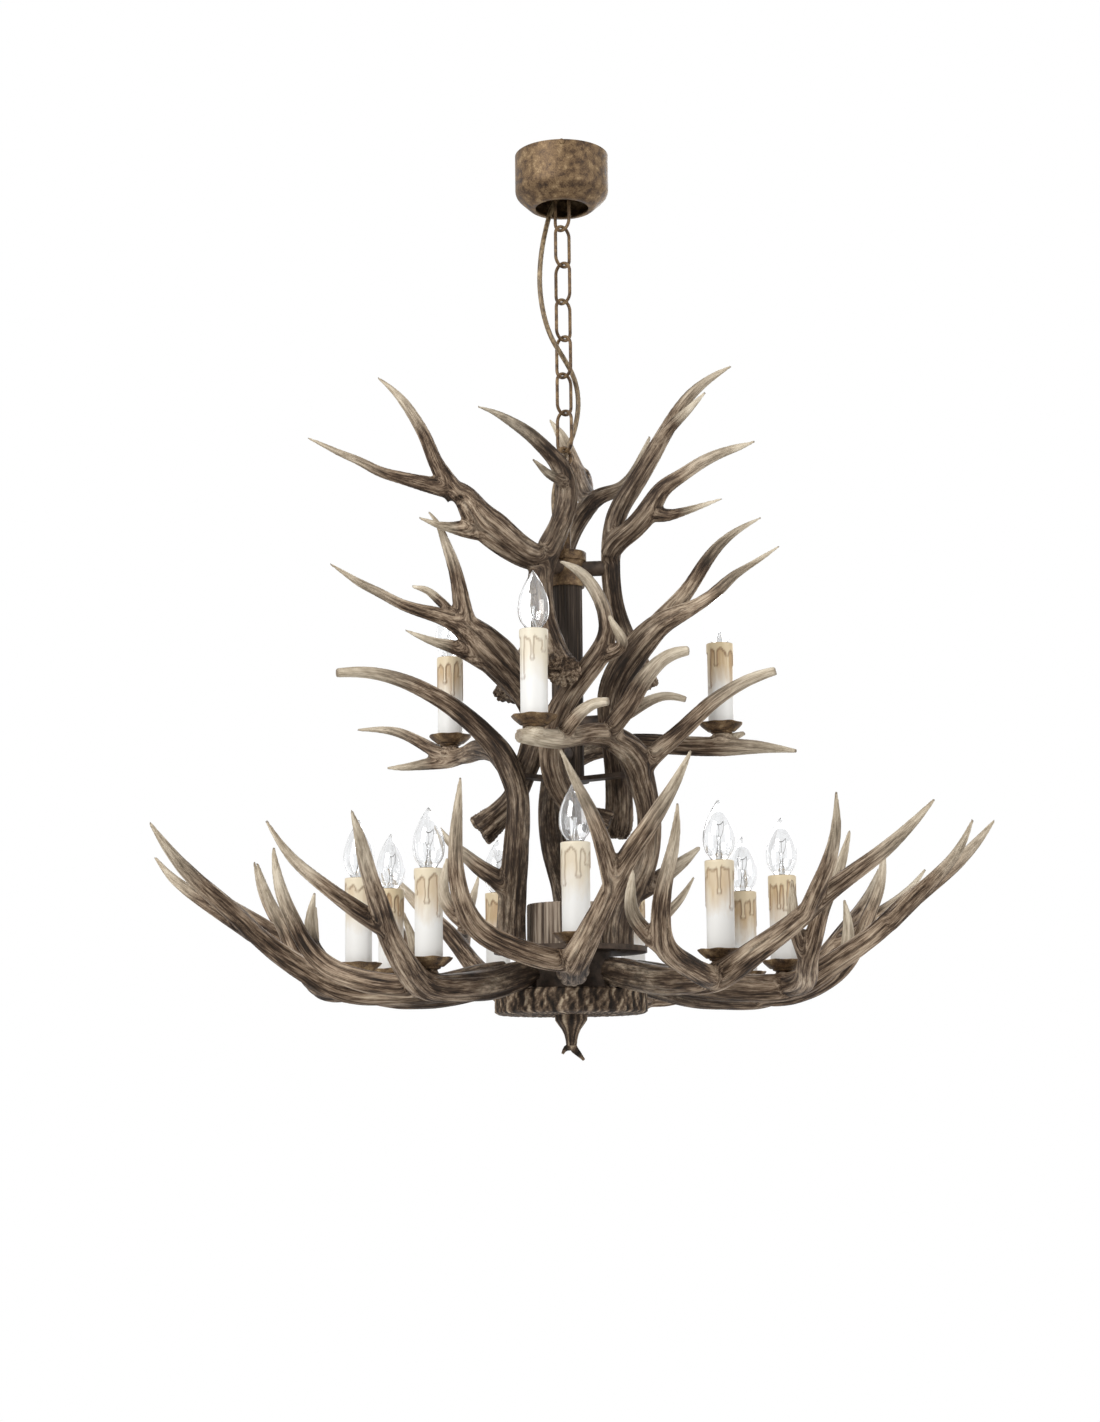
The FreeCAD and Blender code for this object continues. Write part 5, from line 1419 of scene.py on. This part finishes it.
class ChainOperator(bpy.types.Operator):
    """Seven chain links, the hanging loop and the stem"""

    bl_idname = "chandelier.chain"
    bl_label = "Chain"

    def execute(self, context):
        pitch, wire, half_width = 45.8 * MM, 2 * MM, 13.5 * MM
        half_height = pitch / 2 + 2 * wire + 0.15 * MM
        links = [link_patch((0, 0, -45 * MM - pitch * (k + 0.5)),
                            LINK_TURN if k % 2 else -LINK_TURN, wire, half_width, half_height)
                 for k in range(7)]
        dress("top_link", links[:1], "chain_link_1", body="top_link")
        dress("chain_links", links[1:], "chain")
        low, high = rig.box("top_loop")
        wire, ring = 2.5 * MM, 10 * MM
        eye = eye_patch((0, 0, high[2] - wire - ring), LINK_TURN, ring, wire)
        collar = mm((5.9, 0), (8.5, 0), (8.5, 5), (7, 7.6), (3.4, 9))
        collar = turned(rounded(collar, 1.5 * MM), 40)
        dress("hanging_loop", [eye, moved(collar, (0, 0, low[2]))], "top_loop")
        low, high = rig.box("stem")
        stem = turned(spaced([(5.8 * MM, low[2]), (5.8 * MM, high[2])], 6 * MM), 32)
        dress("stem_pipe", [stem], "stem")
        return {"FINISHED"}


class ColumnOperator(bpy.types.Operator):
    """The cap, the streaked column, the bosses and the cable's bush"""

    bl_idname = "chandelier.column"
    bl_label = "Column"

    def execute(self, context):
        self.cap()
        self.column()
        coat(["cap_bosses", "column_bosses", "column_foot"], painted_finish())
        coat(["cable_bush"], black_finish())
        return {"FINISHED"}

    def cap(self):
        """The turned cap with its wider rim, slightly dented."""
        foot = mm((18.6, 0), (21.2, 0), (21.6, 1))
        rim = mm((21.6, -12.5), (22.4, -11.4), (23.8, -10.8), (23.8, -1.2), (22.8, 0), (5.9, 0),
                 (5.9, -3), (18.6, -3)) + [0, CAP_TOP - CAP_BASE]
        outline = spaced(np.vstack([foot, rim]), 2.5 * MM)
        rng = np.random.default_rng(12)
        dents = 0.25 * MM * rippled(columns(72), outline[:, 1:2], rng, (3, 5, 8, 13), 160)
        dents = dents * ease(outline[:, :1], 20 * MM, 21.5 * MM)
        cap = turned(outline, 72, closed=True, swell=dents)
        dress("cap_collar", [moved(cap, (0, 0, CAP_BASE))], "cap")

    def column(self):
        """The column's outside with its streaks cut in, and its plain bore."""
        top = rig.box("column")[1][2]
        levels = np.linspace(COLUMN_BASE, top, 60)
        outer = np.stack([np.full(60, 18.3 * MM), levels], axis=1)
        rng = np.random.default_rng(5)
        ripple = rippled(columns(160), outer[:, 1:2], rng, (11, 17, 22, 26, 35), 22)
        swell = np.clip(0.22 * ripple - 0.75 * ease(-ripple, 0.2, 1.1), -1.1, 0.3) * MM
        bore = np.array([[14.2 * MM, top], [14.2 * MM, COLUMN_BASE]])
        column = turned(np.vstack([outer, bore]), 160, closed=True,
                        swell=np.vstack([swell, np.zeros((2, 160))]))
        dress("column_bark", [column], "column", "column_resin")


class HubOperator(bpy.types.Operator):
    """The bark disc, the grained drum, the finial and the clamp inside"""

    bl_idname = "chandelier.hub"
    bl_label = "Hub"

    def execute(self, context):
        self.disc()
        self.drum()
        self.finial()
        coat(["hub_core", "hub_plate", "centre_bolt", "centre_nut", "arm_screws"],
             painted_finish())
        return {"FINISHED"}

    def disc(self):
        """The hub's round of bark: runs of bark hang down its side and end in pearls."""
        low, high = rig.box("hub_disc")
        height = high[2] - low[2]
        foot = mm((5.2, 0), (30, 0), (84, 0.4), (87, 3))
        rim = mm((87, -2), (84, 0), (5.2, 0)) + [0, height]
        outline = spaced(np.vstack([foot, rim]), 2.6 * MM)
        rng = np.random.default_rng(21)
        count = 260
        radius, level = outline[:, :1], outline[:, 1:2]
        runs = rippled(columns(count), level, rng, (14, 23, 31, 47), 150)
        lumps = rippled(columns(count), level, rng, (38, 61, 90), 420)
        relief = 0.5 + 0.5 * np.tanh(0.75 * runs + 0.95 * lumps)
        swell = ease(radius, 60 * MM, 84 * MM) * (1.3 * MM * (relief - 0.55) + 0.35 * MM * lumps)
        disc = turned(outline, count, closed=True, swell=swell, relief=relief)
        under = ease(-level, -3 * MM, 0) * ease(radius, 12 * MM, 30 * MM)
        rings = 0.5 * MM * lumps + 0.6 * MM * np.cos(radius * 520 + runs)
        disc["points"][:, 2] += (under * rings).ravel() * 0.8
        dress("hub_bark", [moved(disc, (0, 0, low[2]))], "hub_disc", "bark_resin")

    def drum(self):
        """The drum on the hub: upright grain cut as grooves of uneven width."""
        low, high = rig.box("hub_drum")
        height = high[2] - low[2]
        foot = mm((42, 0), (49, 0), (49.6, 0.8))
        rim = mm((49.6, -1.2), (48.4, 0), (7, 0), (7, -8), (42, -8)) + [0, height]
        outline = spaced(np.vstack([foot, rim]), 3 * MM)
        rng = np.random.default_rng(31)
        count = 300
        ripple = rippled(columns(count), outline[:, 1:2], rng, (29, 41, 53, 67, 83), 26)
        valley = ease(-ripple, 0.1, 1.0)
        side = ease(outline[:, :1], 45 * MM, 49 * MM)
        swell = side * (0.2 * MM * ripple - 0.9 * MM * valley)
        drum = turned(outline, count, closed=True, swell=swell, groove=valley * side)
        dress("hub_drum_grain", [moved(drum, (0, 0, low[2]))], "hub_drum", "wood_resin")

    def finial(self):
        """A turned knob that tapers into two crossed antler points."""
        line = mm(*[(0, radius, level) for radius, level in KNOB_OUTLINE])
        outline = spaced(curve_through(line, line[:, 1])[0][:, 1:], 1.5 * MM)
        rng = np.random.default_rng(41)
        runs = rippled(columns(72), outline[:, 1:2], rng, (5, 7, 11, 16), 70)
        relief = 0.5 + 0.5 * np.tanh(1.1 * runs)
        patches = [turned(outline, 72, swell=0.9 * MM * (relief - 0.5), relief=relief)]
        for side, length, bent in ((-1, 0.86, 10.5), (1, 1.0, 14)):
            rows = mm((side * 0.3, 0, -31), (side * 1.2, 0, -36),
                      (side * bent / 2, 0, -43.5 * length), (side * bent, 0, -51.5 * length))
            prong, girth = curve_through(rows, mm(5.4, 5.0, 3.7, 1.3))
            wave = 0.5 + 0.4 * np.sin(np.arange(len(prong)) * 1.7)
            patches.append(tube(prong, girth, 18, relief=np.repeat(wave[:, None], 18, 1)))
        patches = [moved(p, (0, 0, HUB_BASE)) for p in patches]
        dress("finial_knob", patches, "finial", "bark_resin")


class ArmsOperator(bpy.types.Operator):
    """The nine arm antlers, from one mould, each with its own turn, tilt, lean and grooves"""

    bl_idname = "chandelier.arms"
    bl_label = "Arms"

    def execute(self, context):
        for i in range(ARM_COUNT):
            matrix = arm_matrix(i)
            branches = [np.column_stack([rows[:, :3] @ matrix.T + [0, 0, HUB_BASE], rows[:, 3]])
                        for rows in arm_branches(i)]
            name = "arm_%d" % (i + 1)
            # The arms take painted shade near the hub.
            mesh = antler_mesh(name + "_antler", branches, 100 + i, [pad(FEET[i])], burr=False,
                               gloom=0.85, near=0.12, far=0.26)
            show(mesh, "lamp", "antler_resin", [name], antler_finish(), crease=0)
        return {"FINISHED"}


class UpperAntlersOperator(bpy.types.Operator):
    """The three pillar, three mid and three top antlers"""

    bl_idname = "chandelier.upper_antlers"
    bl_label = "Upper antlers"

    def execute(self, context):
        for k, (name, tables) in enumerate(UPPER_ANTLERS.items()):
            tables = [np.array(rows, float) for rows in tables]
            branches = [np.column_stack([spot(rows[:, :3]), rows[:, 3] * PICTURE_UNIT])
                        for rows in tables]
            pillar = name in CARRIED
            # The upper antlers take painted shade towards the axis and low down, the pillars most.
            mesh = antler_mesh(name + "_skin", branches, 200 + k,
                               [pad(FEET[CARRIED[name]])] if pillar else [], burr=not pillar,
                               gloom=0.92 if pillar else 0.6, high=-0.82 if pillar else -1.0)
            show(mesh, "lamp", "antler_resin", [name], antler_finish(), crease=0)
        return {"FINISHED"}


class CandlesOperator(bpy.types.Operator):
    """Twelve seats, drip dishes, wax sleeves and lampholders"""

    bl_idname = "chandelier.candles"
    bl_label = "Candles"

    def execute(self, context):
        rng = np.random.default_rng(7)
        sleeves = [sleeve_patch(foot, rng, stain) for foot, stain in zip(FEET, STAINS)]
        dress("wax_sleeves", sleeves, "candle_sleeves", "wax_plastic", crease=0)
        dress("drip_dish_set", [dish_patch(foot, rng) for foot in FEET], "drip_dishes")
        dress("candle_seat_set", [seat_patch(foot) for foot in FEET], "candle_seats")
        dress("lampholder_set", [holder_patch(foot) for foot in FEET], "lampholders",
              "black_plastic")
        return {"FINISHED"}


class BulbsOperator(bpy.types.Operator):
    """Twelve clear candle bulbs, each with its cap, glass and filament"""

    bl_idname = "chandelier.bulbs"
    bl_label = "Bulbs"

    def execute(self, context):
        for i, foot in enumerate(FEET):
            name = "bulb_%02d" % (i + 1)
            dress(name + "_glass", glass_patches(foot), name, "bulb_glass", name, crease=60)
            show(blank_mesh(name + "_cap", [cap_patch(foot)]), name, "bulb_glass", [],
                 brass_finish())
            show(blank_mesh(name + "_filament", wire_patches(foot)), name, "bulb_glass", [],
                 filament_finish(), crease=0)
        return {"FINISHED"}


OPERATORS = (StageOperator, CableOperator, CeilingOperator, ChainOperator, ColumnOperator,
             HubOperator, ArmsOperator, UpperAntlersOperator, CandlesOperator, BulbsOperator)


class ChandelierPanel(bpy.types.Panel):
    """Lists the chandelier's settings and its operators"""

    bl_idname = "VIEW3D_PT_chandelier"
    bl_label = "Chandelier"
    bl_space_type = "VIEW_3D"
    bl_region_type = "UI"
    bl_category = "Chandelier"

    def draw(self, context):
        settings = context.scene.chandelier
        for name in ChandelierSettings.__annotations__:
            self.layout.prop(settings, name)
        for operator in OPERATORS:
            self.layout.operator(operator.bl_idname)


CLASSES = (ChandelierSettings, *OPERATORS, ChandelierPanel)


def register():
    """Adds the classes and the scene's settings."""
    for item in CLASSES:
        bpy.utils.register_class(item)
    bpy.types.Scene.chandelier = bpy.props.PointerProperty(type=ChandelierSettings)


def unregister():
    """Takes the settings and the classes away again."""
    del bpy.types.Scene.chandelier
    for item in reversed(CLASSES):
        bpy.utils.unregister_class(item)


def main():
    """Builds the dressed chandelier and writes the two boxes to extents.json."""
    register()
    for operator in OPERATORS:
        group, word = operator.bl_idname.split(".")
        getattr(getattr(bpy.ops, group), word)()
    sizes = {"cad": [[float(x) for x in corner] for corner in CAD_BOX],
             "visual": [[float(x) for x in corner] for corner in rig.bounds()]}
    with open("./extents.json", "w") as handle:
        json.dump(sizes, handle)


if __name__ == "__main__":
    main()
